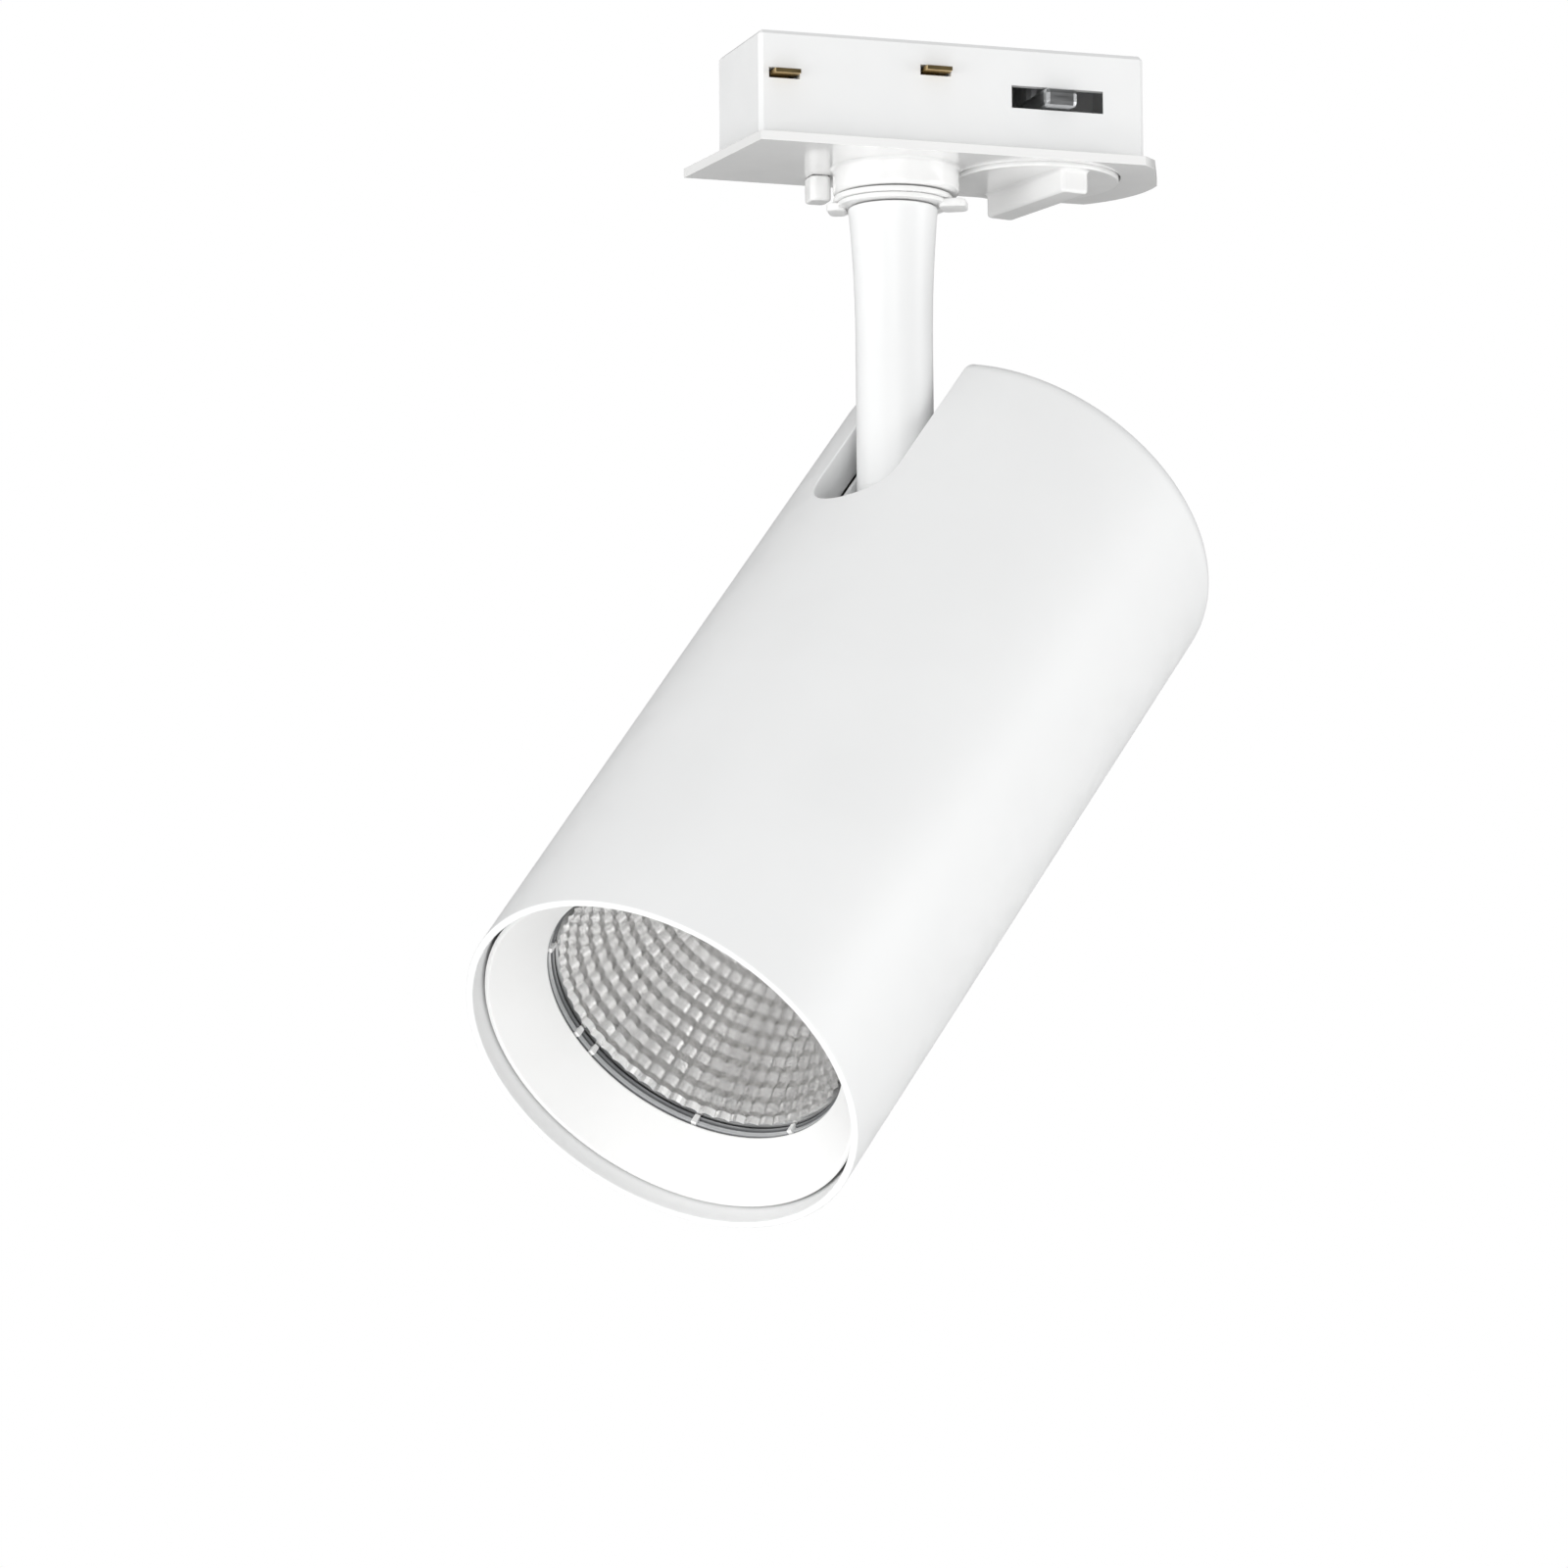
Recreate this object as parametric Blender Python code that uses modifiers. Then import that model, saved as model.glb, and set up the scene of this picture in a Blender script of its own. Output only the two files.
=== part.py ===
"""A track spotlight: an adapter with a locking lever and a latch, a swivel stem and a tilting round head.

Metres, +Z up. The origin is on the stem's axis, in the plane where the cover seats against the track.
The adapter is modelled in the world's frame. The stem hangs on the pan axis, an empty turned by PAN. The
head hangs on the tilt axis, an empty at the pivot: its +Z runs from the lamp's mouth to the closed back,
its +Y is the pivot pin, and its -X side carries the slot that the stem swings in.
"""

from math import asin, cos, pi, radians, sin, sqrt

import bmesh
import bpy
from mathutils import Matrix, Vector

# Pose at rest
PAN = radians(31.2)
TILT = radians(43.2)

# Gap between pieces that touch, and how far a cutter runs past what it cuts
GAP = 0.0003
BEYOND = 0.03

# Adapter cover, with the boss that the stem swivels in. Two straight cuts trim its round end on one side.
COVER_THICKNESS = 0.0018
COVER_HALF_WIDTH = 0.018
COVER_NEAR_LEFT = -0.0326
COVER_FAR_LEFT = -0.0362
COVER_END_RADIUS = 0.0245
COVER_CUT_START = 0.045
COVER_CUT_CORNER = (0.048, -0.0152)
COVER_ARC_START = radians(-3.5)
SEAT_RECESS = 0.0004
BOSS_X = 0.00065
BOSS_RADIUS = 0.0121
BOSS_BOTTOM = -0.0069

# Adapter body, the box that goes up into the track's channel
BODY_LEFT = -0.031
BODY_RIGHT = 0.047
BODY_HALF_WIDTH = 0.0125
BODY_TOP = 0.021
BODY_WALL = 0.0016

# Locking lever
LEVER_X = 0.0292
LEVER_ANGLE = radians(102.5)
DISC_RADIUS = 0.016
DISC_PROUD = 0.0008
HANDLE_WIDTH = 0.006
HANDLE_HEIGHT = 0.0045
HANDLE_FAR = 0.0135
HANDLE_NEAR = 0.0146
CAM_ROD_RADIUS = 0.004
CAM_ROD_TOP = 0.0172
CAM_HALF_WIDTH = 0.0034
CAM_REACH = 0.015
CAM_BOTTOM = 0.0094
CAM_TOP = 0.013

# Latch, which slides along -X. Its places along X are measured from LATCH_X.
LATCH_TRAVEL = 0.0015
LATCH_X = -0.0117
NECK_LEFT = 0.0001
NECK_RIGHT = 0.0015
NECK_NEAR = 0.0082
NECK_FAR = 0.0105
PEG_HALF_WIDTH = 0.0021
PEG_NEAR = 0.0075
PEG_FAR = 0.0126
PEG_BOTTOM = -0.0068
SLIDE_LEFT = -0.0066
SLIDE_RIGHT = 0.0028
SLIDE_NEAR = 0.003
SLIDE_FAR = 0.0106
SLIDE_TOP = 0.0017
STOP_WIDTH = 0.0012
STOP_TOP = 0.0042
CATCH_LEFT = -0.0036
CATCH_RIGHT = -0.0016
CATCH_NEAR = 0.0092
CATCH_REACH = 0.0142
CATCH_BOTTOM = 0.0152
CATCH_TOP = 0.017
SPRING_RADIUS = 0.0013
SPRING_TURNS = 6

# Contacts, and the terminal block that their legs stand beside
CONTACT_X = -0.026
CONTACT_BOTTOM = 0.0122
EARTH_X = 0.0045
EARTH_BOTTOM = 0.0148
CONTACT_WIDTH = 0.005
CONTACT_THICKNESS = 0.0008
CONTACT_REACH = 0.015
CONTACT_INNER = 0.0068
CONTACT_LEG_END = 0.006
TERMINAL_LOW = (-0.0278, -0.006, 0.0022)
TERMINAL_HIGH = (-0.0118, 0.006, 0.0102)
TERMINAL_PITCH = 0.0036

# Swivel and stem
NIPPLE_RADIUS = 0.005
NIPPLE_BORE = 0.0036
NIPPLE_BOTTOM = -0.024
NIPPLE_TOP = 0.008
WASHER_RADIUS = 0.0078
WASHER_BOTTOM = -0.0001
WASHER_TOP = 0.0012
NUT_RADIUS = 0.0081
NUT_TOP = 0.0055
SWIVEL_RADIUS = 0.0114
SWIVEL_TOP = BOSS_BOTTOM - GAP
SWIVEL_BOTTOM = SWIVEL_TOP - 0.0008
LUG_RING_RADIUS = 0.0107
LUG_TOP = SWIVEL_BOTTOM - GAP
LUG_RING_BOTTOM = LUG_TOP - 0.0009
LUG_BOTTOM = LUG_TOP - 0.0016
LUG_ROOT = 0.0092
LUG_REACHES = (0.0143, 0.0126)
LUG_HALF_WIDTH = 0.0032
LUG_ANGLE = radians(-58)
STEM_TOP = -0.0095
STEM_RADIUS = 0.0074
STEM_FLARE = 0.0012
STEM_FLARE_LENGTH = 0.026
STEM_BORE = 0.0053
PIVOT_Z = -0.0718
STEM_BOTTOM = PIVOT_Z + 0.0078
KNUCKLE_RADIUS = 0.0072
KNUCKLE_HALF_WIDTH = 0.007
SPIGOT_LENGTH = 0.016
LEAD_TOP = 0.0105
LEAD_LENGTH = 0.054
LEAD_RADIUS = 0.0026

# Head housing. Heights along the head are measured from the pivot.
HEAD_RADIUS = 0.04
HEAD_LENGTH = 0.1608
HEAD_WALL = 0.0015
HEAD_BACK_WALL = 0.002
HEAD_FILLET = 0.0045
HEAD_OFFSET = 0.024
HEAD_BACK = 0.0335
HEAD_FRONT = HEAD_BACK - HEAD_LENGTH
HEAD_BORE = HEAD_RADIUS - HEAD_WALL

# Slot, the collar cast round it, and the liner behind it, as places across the head
SLOT_HALF_WIDTH = 0.0095
SLOT_CENTRE = HEAD_BACK - 0.0337
SLOT_DEPTH = 0.0088
COLLAR_WALL = 0.0017
COLLAR_DEPTH = -0.0085
LINER_WALL = 0.0009
LINER_OUTER = SLOT_HALF_WIDTH - GAP

# Hinge
PIN_RADIUS = 0.0026
EAR_RADIUS = 0.0075
EAR_THICKNESS = 0.0018
EAR_INNER = LINER_OUTER + GAP
EAR_OUTER = EAR_INNER + EAR_THICKNESS
FOOT_REACH = 0.0185
FOOT_HALF = EAR_RADIUS + 0.0006
FOOT_TOP = -0.01
FOOT_BOTTOM = FOOT_TOP - EAR_THICKNESS
FOOT_SCREW_Y = 0.0155
PIN_END = 0.0176
PIN_HEAD_RADIUS = 0.0046
PIN_HEAD_HEIGHT = 0.002
FRICTION_WASHER_RADIUS = 0.0062
SPRING_WASHER_RADIUS = 0.0054
SPRING_WASHER_HEIGHT = 0.0012
TENSION_NUT_RADIUS = 0.0052
TENSION_NUT_HEIGHT = 0.0034

# Heat sink, lamp and optics, as heights along the head
SINK_RADIUS = HEAD_BORE - 0.0006
SINK_TOP = FOOT_BOTTOM - GAP
SINK_PLATE = 0.003
SINK_BASE_TOP = -0.034
SINK_BOTTOM = -0.04
SINK_FINS = 16
SINK_CORE_RADIUS = 0.011
SINK_FIN_THICKNESS = 0.0018
LEAD_HOLE_RADIUS = 0.0022
LEAD_HOLE_X = 0.0335
BOARD_THICKNESS = 0.0015
BOARD_HALF_WIDTH = 0.0145
CHIP_RADIUS = 0.0085
CHIP_HEIGHT = 0.001
HOLDER_RADIUS = 0.0215
HOLDER_BORE = 0.009
HOLDER_SCREW_Y = 0.0178
HOLDER_BOTTOM = SINK_BOTTOM - 0.006
MOUTH_RADIUS = 0.0294
FLANGE_RADIUS = 0.0321
THROAT_RADIUS = 0.01
REFLECTOR_WALL = 0.0008
REFLECTOR_TOP = HOLDER_BOTTOM - 0.0004
REFLECTOR_BOTTOM = HEAD_FRONT + 0.0168
BAFFLE_RADIUS = HEAD_BORE - 0.0006
BAFFLE_MOUTH = 0.0303
BAFFLE_EDGE = 0.0004
BAFFLE_WALL = 0.0012
BAFFLE_LIP = BAFFLE_RADIUS - 0.0009
BAFFLE_SKIRT_TOP = HEAD_FRONT + 0.0171
BAFFLE_FRONT = HEAD_FRONT + 0.0036
BAFFLE_BACK = HEAD_FRONT + 0.0141

# Screws
SCREW_HEAD_RADIUS = 0.0025
SCREW_HEAD_HEIGHT = 0.0016
SCREW_RADIUS = 0.0012

# Driver, beside the slot's liner
CASE_LEFT = -0.01
CASE_RIGHT = 0.022
CASE_HALF_WIDTH = 0.024
CASE_TOP = 0.028
CASE_WALL = 0.0012

WHITE = (0.86, 0.86, 0.85)
ZINC = (0.62, 0.63, 0.65)


def clear_scene():
    for obj in list(bpy.data.objects):
        bpy.data.objects.remove(obj)


def new_collection(name):
    made = bpy.data.collections.new(name)
    bpy.context.scene.collection.children.link(made)
    return made


def material(name, colour, roughness, metallic=0.0):
    made = bpy.data.materials.new(name)
    made.use_nodes = True
    shader = made.node_tree.nodes["Principled BSDF"]
    shader.inputs["Base Color"].default_value = (*colour, 1)
    shader.inputs["Roughness"].default_value = roughness
    shader.inputs["Metallic"].default_value = metallic
    return made


def empty(name, location=(0, 0, 0), rotation=(0, 0, 0), parent=None):
    made = bpy.data.objects.new(name, None)
    made.empty_display_size = 0.01
    made.location = location
    made.rotation_euler = rotation
    made.parent = parent
    PARTS.objects.link(made)
    return made


def place(obj, parent, location=(0, 0, 0), rotation=(0, 0, 0)):
    obj.parent = parent
    obj.location = location
    obj.rotation_euler = rotation
    return obj


def as_cutter(obj):
    """Moves an object to the cutters, which are kept out of renders."""
    PARTS.objects.unlink(obj)
    CUTTERS.objects.link(obj)
    obj.hide_render = True
    obj.display_type = "WIRE"
    return obj


def object_from(name, mesh, colour=WHITE, roughness=0.4, metallic=0.0):
    made = bpy.data.objects.new(name, mesh)
    made.data.materials.append(material(name, colour, roughness, metallic))
    PARTS.objects.link(made)
    return made


def mesh_from(name, bm):
    bmesh.ops.recalc_face_normals(bm, faces=bm.faces)
    mesh = bpy.data.meshes.new(name)
    bm.to_mesh(mesh)
    bm.free()
    mesh.shade_smooth()
    mesh.set_sharp_from_angle(angle=radians(35))
    return mesh


def box(name, low, high, **finish):
    """A box between two corners of its parent's frame."""
    low = Vector(low)
    high = Vector(high)
    bm = bmesh.new()
    scale = Matrix.Diagonal((*(high - low), 1))
    bmesh.ops.create_cube(bm, size=1, matrix=Matrix.Translation((low + high) / 2) @ scale)
    return object_from(name, mesh_from(name, bm), **finish)


def rod(name, radius, low, high, segments=24, centre=(0, 0), along="Z", **finish):
    """A round bar along an axis of its parent's frame. The centre holds the two other coordinates."""
    length = high - low
    turn = {"X": Matrix.Rotation(pi / 2, 4, "Y"), "Y": Matrix.Rotation(-pi / 2, 4, "X"), "Z": Matrix()}
    middle = [*centre]
    middle.insert("XYZ".index(along), (low + high) / 2)
    bm = bmesh.new()
    bmesh.ops.create_cone(
        bm,
        cap_ends=True,
        segments=segments,
        radius1=radius,
        radius2=radius,
        depth=length,
        matrix=Matrix.Translation(middle) @ turn[along],
    )
    return object_from(name, mesh_from(name, bm), **finish)


def turned(name, profile, segments=48, closed=True, **finish):
    """A shape turned about its own Z. The profile of (radius, height) runs down the outer side."""
    mesh = bpy.data.meshes.new(name)
    count = len(profile)
    edges = [(i, i + 1) for i in range(count - 1)]
    if closed:
        edges.append((count - 1, 0))
    mesh.from_pydata([(radius, 0, height) for radius, height in profile], edges, [])
    made = object_from(name, mesh, **finish)
    screw = made.modifiers.new("Turn", "SCREW")
    screw.axis = "Z"
    screw.angle = 2 * pi
    screw.steps = segments
    screw.render_steps = segments
    screw.use_merge_vertices = True
    screw.merge_threshold = 0.00001
    screw.use_smooth_shade = True
    return made


def ring(name, outer, inner, low, high, segments=32, **finish):
    """A flat round washer or a plain tube."""
    return turned(name, [(outer, high), (outer, low), (inner, low), (inner, high)], segments, **finish)


def curve_mesh(curve, name):
    """The welded mesh of a curve, which is removed."""
    carrier = bpy.data.objects.new(name, curve)
    bpy.context.scene.collection.objects.link(carrier)
    graph = bpy.context.evaluated_depsgraph_get()
    mesh = bpy.data.meshes.new_from_object(carrier.evaluated_get(graph))
    bpy.data.objects.remove(carrier)
    bpy.data.curves.remove(curve)
    bm = bmesh.new()
    bm.from_mesh(mesh)
    bpy.data.meshes.remove(mesh)
    bmesh.ops.remove_doubles(bm, verts=bm.verts, dist=0.000001)
    return mesh_from(name, bm)


def prism(name, outline, low, high, **finish):
    """A flat outline in X and Y, drawn out along Z."""
    curve = bpy.data.curves.new(name, "CURVE")
    curve.dimensions = "2D"
    curve.fill_mode = "BOTH"
    curve.extrude = (high - low) / 2
    spline = curve.splines.new("POLY")
    spline.points.add(len(outline) - 1)
    spline.use_cyclic_u = True
    for point, (x, y) in zip(spline.points, outline):
        point.co = (x, y, 0, 1)
    mesh = curve_mesh(curve, name)
    mesh.transform(Matrix.Translation((0, 0, (low + high) / 2)))
    return object_from(name, mesh, **finish)


def tube(name, points, radius, sides=2, **finish):
    """A round wire through points."""
    curve = bpy.data.curves.new(name, "CURVE")
    curve.dimensions = "3D"
    curve.bevel_depth = radius
    curve.bevel_resolution = sides
    curve.use_fill_caps = True
    spline = curve.splines.new("POLY")
    spline.points.add(len(points) - 1)
    for point, place_at in zip(spline.points, points):
        point.co = (*place_at, 1)
    return object_from(name, curve_mesh(curve, name), **finish)


def arc(centre, radius, start, end, steps):
    """Points on an arc, ends included."""
    angles = [start + (end - start) * i / steps for i in range(steps + 1)]
    return [(centre[0] + radius * cos(a), centre[1] + radius * sin(a)) for a in angles]


def boolean(target, other, operation):
    cut = target.modifiers.new(other.name, "BOOLEAN")
    cut.operation = operation
    cut.solver = "EXACT"
    cut.object = as_cutter(other)
    if other.parent is None:
        other.parent = target.parent
    return target


def cut(target, other):
    return boolean(target, other, "DIFFERENCE")


def join(target, other):
    return boolean(target, other, "UNION")


def rounded(obj, width, segments=2):
    bevel = obj.modifiers.new("Rounded", "BEVEL")
    bevel.width = width
    bevel.segments = segments
    bevel.limit_method = "ANGLE"
    return obj


# --- Adapter ---


def make_cover(adapter):
    reach = asin(COVER_HALF_WIDTH / COVER_END_RADIUS)
    outline = [(COVER_NEAR_LEFT, -COVER_HALF_WIDTH), (COVER_CUT_START, -COVER_HALF_WIDTH), COVER_CUT_CORNER]
    outline += arc((LEVER_X, 0), COVER_END_RADIUS, COVER_ARC_START, reach, 10)
    outline.append((COVER_FAR_LEFT, COVER_HALF_WIDTH))
    cover = place(prism("adapter_cover", outline, -COVER_THICKNESS, 0, roughness=0.25), adapter)
    join(cover, rod("cover_boss", BOSS_RADIUS, BOSS_BOTTOM, -COVER_THICKNESS / 2, 40, (BOSS_X, 0)))
    low = (BODY_LEFT - GAP, -BODY_HALF_WIDTH - GAP, -SEAT_RECESS)
    high = (BODY_RIGHT + GAP, BODY_HALF_WIDTH + GAP, BEYOND)
    cut(cover, box("cover_seat_cut", low, high))
    cut(cover, rod("cover_nipple_cut", NIPPLE_RADIUS + 0.0004, -BEYOND, BEYOND))
    cut(cover, rod("cover_lever_cut", DISC_RADIUS + 0.0004, -BEYOND, BEYOND, 48, (LEVER_X, 0)))
    low = (LATCH_X + NECK_LEFT - LATCH_TRAVEL - GAP, NECK_NEAR - GAP, -BEYOND)
    high = (LATCH_X + NECK_RIGHT + GAP, NECK_FAR + GAP, BEYOND)
    cut(cover, box("cover_latch_cut", low, high))


def make_body(adapter):
    low = (BODY_LEFT, -BODY_HALF_WIDTH, GAP - SEAT_RECESS)
    high = (BODY_RIGHT, BODY_HALF_WIDTH, BODY_TOP)
    body = place(box("adapter_body", low, high, roughness=0.45), adapter)
    rounded(body, 0.0008, 1)
    inner = (BODY_LEFT + BODY_WALL, BODY_WALL - BODY_HALF_WIDTH, -BEYOND)
    roof = (BODY_RIGHT - BODY_WALL, BODY_HALF_WIDTH - BODY_WALL, BODY_TOP - BODY_WALL)
    cut(body, box("body_cavity_cut", inner, roof))
    slot_low = CAM_BOTTOM - 0.0004
    slot_high = CAM_TOP + 0.0004
    cut(body, rod("body_cam_cut", CAM_REACH + 0.0006, slot_low, slot_high, 40, (LEVER_X, 0)))
    room = 0.0006
    half = CONTACT_WIDTH / 2 + room
    low = (CONTACT_X - half, -BEYOND, CONTACT_BOTTOM - room)
    high = (CONTACT_X + half, BEYOND, CONTACT_BOTTOM + CONTACT_THICKNESS + room)
    cut(body, box("body_contact_cut", low, high))
    low = (EARTH_X - half, -BEYOND, EARTH_BOTTOM - room)
    high = (EARTH_X + half, -CONTACT_INNER, EARTH_BOTTOM + CONTACT_THICKNESS + room)
    cut(body, box("body_earth_cut", low, high))
    low = (LATCH_X + CATCH_LEFT - LATCH_TRAVEL - room, CATCH_NEAR, CATCH_BOTTOM - room)
    high = (LATCH_X + CATCH_RIGHT + room, BEYOND, CATCH_TOP + room)
    cut(body, box("body_catch_cut", low, high))


def make_contact(adapter, name, x, height, side, colour):
    """A spring blade that reaches out of the body's side, with a leg down to the terminals."""
    half = CONTACT_WIDTH / 2
    ends = sorted((side * CONTACT_INNER, side * CONTACT_REACH))
    leg_ends = sorted((side * CONTACT_INNER, side * (CONTACT_INNER + CONTACT_THICKNESS)))
    top = height + CONTACT_THICKNESS
    finish = {"colour": colour, "roughness": 0.3, "metallic": 1.0}
    blade = box(name, (x - half, ends[0], height), (x + half, ends[1], top), **finish)
    place(blade, adapter)
    leg_top = height + CONTACT_THICKNESS / 2
    leg = box(f"{name}_leg", (x - half, leg_ends[0], CONTACT_LEG_END), (x + half, leg_ends[1], leg_top))
    join(blade, leg)


def make_terminals(adapter):
    block = place(box("terminal_block", TERMINAL_LOW, TERMINAL_HIGH, colour=(0.8, 0.78, 0.7)), adapter)
    hole_x = TERMINAL_LOW[0] + TERMINAL_PITCH
    bottom = TERMINAL_LOW[2] + 0.002
    for row in (-1, 0, 1):
        cut(block, rod(f"terminal_cut_{row}", 0.0012, bottom, BEYOND, 12, (hole_x, row * TERMINAL_PITCH)))


def make_latch_spring(adapter):
    per_turn = 10
    steps = SPRING_TURNS * per_turn
    left = BODY_LEFT + BODY_WALL + 2 * GAP
    right = LATCH_X + SLIDE_LEFT - 2 * GAP
    middle_y = (SLIDE_FAR + CATCH_NEAR) / 2 - 0.001
    middle_z = SLIDE_TOP + 0.0004
    points = []
    for i in range(steps + 1):
        angle = 2 * pi * i / per_turn
        x = left + (right - left) * i / steps
        points.append((x, middle_y + SPRING_RADIUS * cos(angle), middle_z + SPRING_RADIUS * sin(angle)))
    finish = {"colour": ZINC, "roughness": 0.25, "metallic": 1.0}
    place(tube("latch_spring", points, 0.0002, 1, **finish), adapter)


def make_latch(latch):
    low = (SLIDE_LEFT, SLIDE_NEAR, GAP / 2)
    slider = place(box("latch_slider", low, (SLIDE_RIGHT, SLIDE_FAR, SLIDE_TOP), roughness=0.35), latch)
    base = SLIDE_TOP - 0.0007
    low = (SLIDE_LEFT, NECK_NEAR, base)
    join(slider, box("latch_stop", low, (SLIDE_LEFT + STOP_WIDTH, SLIDE_FAR, STOP_TOP)))
    low = (NECK_LEFT, NECK_NEAR, -COVER_THICKNESS - 0.001)
    join(slider, box("latch_neck", low, (NECK_RIGHT, NECK_FAR, base)))
    low = (-PEG_HALF_WIDTH, PEG_NEAR, PEG_BOTTOM)
    peg = box("latch_peg", low, (PEG_HALF_WIDTH, PEG_FAR, -COVER_THICKNESS - GAP))
    join(slider, rounded(peg, 0.0008, 2))
    low = (CATCH_LEFT, CATCH_NEAR, base)
    join(slider, box("latch_post", low, (CATCH_RIGHT, SLIDE_FAR, CATCH_TOP)))
    low = (CATCH_LEFT, CATCH_NEAR, CATCH_BOTTOM)
    join(slider, box("latch_catch", low, (CATCH_RIGHT, CATCH_REACH, CATCH_TOP)))


def make_lever(lever):
    bottom = -COVER_THICKNESS - DISC_PROUD
    top = -SEAT_RECESS
    half = HANDLE_WIDTH / 2
    disc = place(rod("lever_disc", DISC_RADIUS, bottom, top, 48, roughness=0.3), lever)
    low = (-HANDLE_NEAR, -half, bottom - HANDLE_HEIGHT)
    handle = box("lever_handle", low, (HANDLE_FAR, half, bottom + 0.0006))
    place(rounded(handle, 0.0007, 2), lever, rotation=(0, 0, LEVER_ANGLE))
    join(disc, handle)
    zinc = {"colour": ZINC, "metallic": 1.0}
    cam = place(rod("lever_cam", CAM_ROD_RADIUS, GAP - SEAT_RECESS, CAM_ROD_TOP, 24, **zinc), lever)
    low = (-CAM_HALF_WIDTH, -CAM_REACH, CAM_BOTTOM)
    wing = box("lever_wing", low, (CAM_HALF_WIDTH, CAM_REACH, CAM_TOP))
    join(cam, rounded(wing, 0.001, 2))


# --- Stem ---


def make_swivel(stem):
    steel = {"colour": ZINC, "roughness": 0.3, "metallic": 1.0}
    hole = NIPPLE_RADIUS + GAP
    place(ring("swivel_nipple", NIPPLE_RADIUS, NIPPLE_BORE, NIPPLE_BOTTOM, NIPPLE_TOP, 24, **steel), stem)
    place(ring("wave_washer", WASHER_RADIUS, hole, WASHER_BOTTOM, WASHER_TOP, 24, **steel), stem)
    nut = place(rod("nipple_nut", NUT_RADIUS, WASHER_TOP + GAP, NUT_TOP, 6, **steel), stem)
    cut(nut, rod("nipple_nut_cut", hole, -BEYOND, BEYOND))
    place(ring("swivel_ring", SWIVEL_RADIUS, hole, SWIVEL_BOTTOM, SWIVEL_TOP, 48, roughness=0.25), stem)
    lugs = place(ring("lug_ring", LUG_RING_RADIUS, hole, LUG_RING_BOTTOM, LUG_TOP, 48, roughness=0.3), stem)
    for side, reach in enumerate(LUG_REACHES):
        lug = box(f"lug_{side}", (LUG_ROOT, -LUG_HALF_WIDTH, LUG_BOTTOM), (reach, LUG_HALF_WIDTH, LUG_TOP))
        place(rounded(lug, 0.0005, 1), stem, rotation=(0, 0, LUG_ANGLE + side * pi))
        join(lugs, lug)


def make_stem_tube(stem):
    steps = 6
    outer = []
    for i in range(steps + 1):
        down = i / steps
        outer.append((STEM_RADIUS + STEM_FLARE * (1 - down) ** 2, STEM_TOP - STEM_FLARE_LENGTH * down))
    profile = [*outer, (STEM_RADIUS, STEM_BOTTOM), (STEM_BORE, STEM_BOTTOM), (STEM_BORE, STEM_TOP)]
    place(turned("stem_tube", profile, 40, roughness=0.35), stem)


def make_knuckle(stem):
    neck_top = STEM_BOTTOM - GAP
    steel = {"colour": ZINC, "roughness": 0.35, "metallic": 1.0}
    wide = KNUCKLE_HALF_WIDTH
    knuckle = rod("stem_knuckle", KNUCKLE_RADIUS, -wide, wide, 32, (0, PIVOT_Z), "Y", **steel)
    place(knuckle, stem)
    join(knuckle, rod("knuckle_neck", KNUCKLE_RADIUS - 0.0002, PIVOT_Z, neck_top, 32))
    join(knuckle, rod("knuckle_spigot", STEM_BORE - GAP, neck_top - 0.001, neck_top + SPIGOT_LENGTH, 24))
    cut(knuckle, rod("knuckle_pin_cut", PIN_RADIUS + GAP, -BEYOND, BEYOND, 20, (0, PIVOT_Z), "Y"))
    steps = 9
    points = [(0, 0, LEAD_TOP - LEAD_LENGTH * i / steps) for i in range(steps + 1)]
    place(tube("supply_lead", points, LEAD_RADIUS, colour=(0.8, 0.8, 0.8), roughness=0.6), stem)


# --- Head ---


def make_housing(head):
    turn = HEAD_RADIUS - HEAD_FILLET
    outer_low = HEAD_BACK - HEAD_FILLET
    inner_turn = HEAD_BORE - turn
    inner_top = HEAD_BACK - HEAD_BACK_WALL
    profile = [(0, HEAD_BACK)]
    profile += arc((turn, outer_low), HEAD_FILLET, pi / 2, 0, 6)
    profile.append((HEAD_RADIUS, HEAD_FRONT + GAP))
    profile.append((HEAD_RADIUS - GAP, HEAD_FRONT))
    profile.append((HEAD_BORE, HEAD_FRONT))
    profile += arc((turn, inner_top - inner_turn), inner_turn, 0, pi / 2, 4)
    profile.append((0, inner_top))
    housing = turned("head_housing", profile, 64, closed=False, roughness=0.35)
    place(housing, head, (HEAD_OFFSET, 0, 0))
    across = (pi / 2, 0, pi / 2)
    collar = stadium("housing_collar", SLOT_HALF_WIDTH + COLLAR_WALL, -BEYOND, COLLAR_DEPTH)
    within = rod("collar_trim", HEAD_RADIUS - HEAD_WALL / 2, -BEYOND, HEAD_BACK - HEAD_BACK_WALL / 2, 64)
    boolean(place(collar, head, rotation=across), place(within, head, (HEAD_OFFSET, 0, 0)), "INTERSECT")
    join(housing, collar)
    slot = stadium("housing_slot_cut", SLOT_HALF_WIDTH, -BEYOND, SLOT_DEPTH)
    cut(housing, place(slot, head, rotation=across))


def stadium(name, half_width, low, high):
    """A bar with one round end at the slot's centre. Its own X, Y and Z lie along the head's Y, Z and X."""
    outline = arc((0, SLOT_CENTRE), half_width, pi, 2 * pi, 16)
    outline += [(half_width, HEAD_BACK + BEYOND), (-half_width, HEAD_BACK + BEYOND)]
    return prism(name, outline, low, high)


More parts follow.
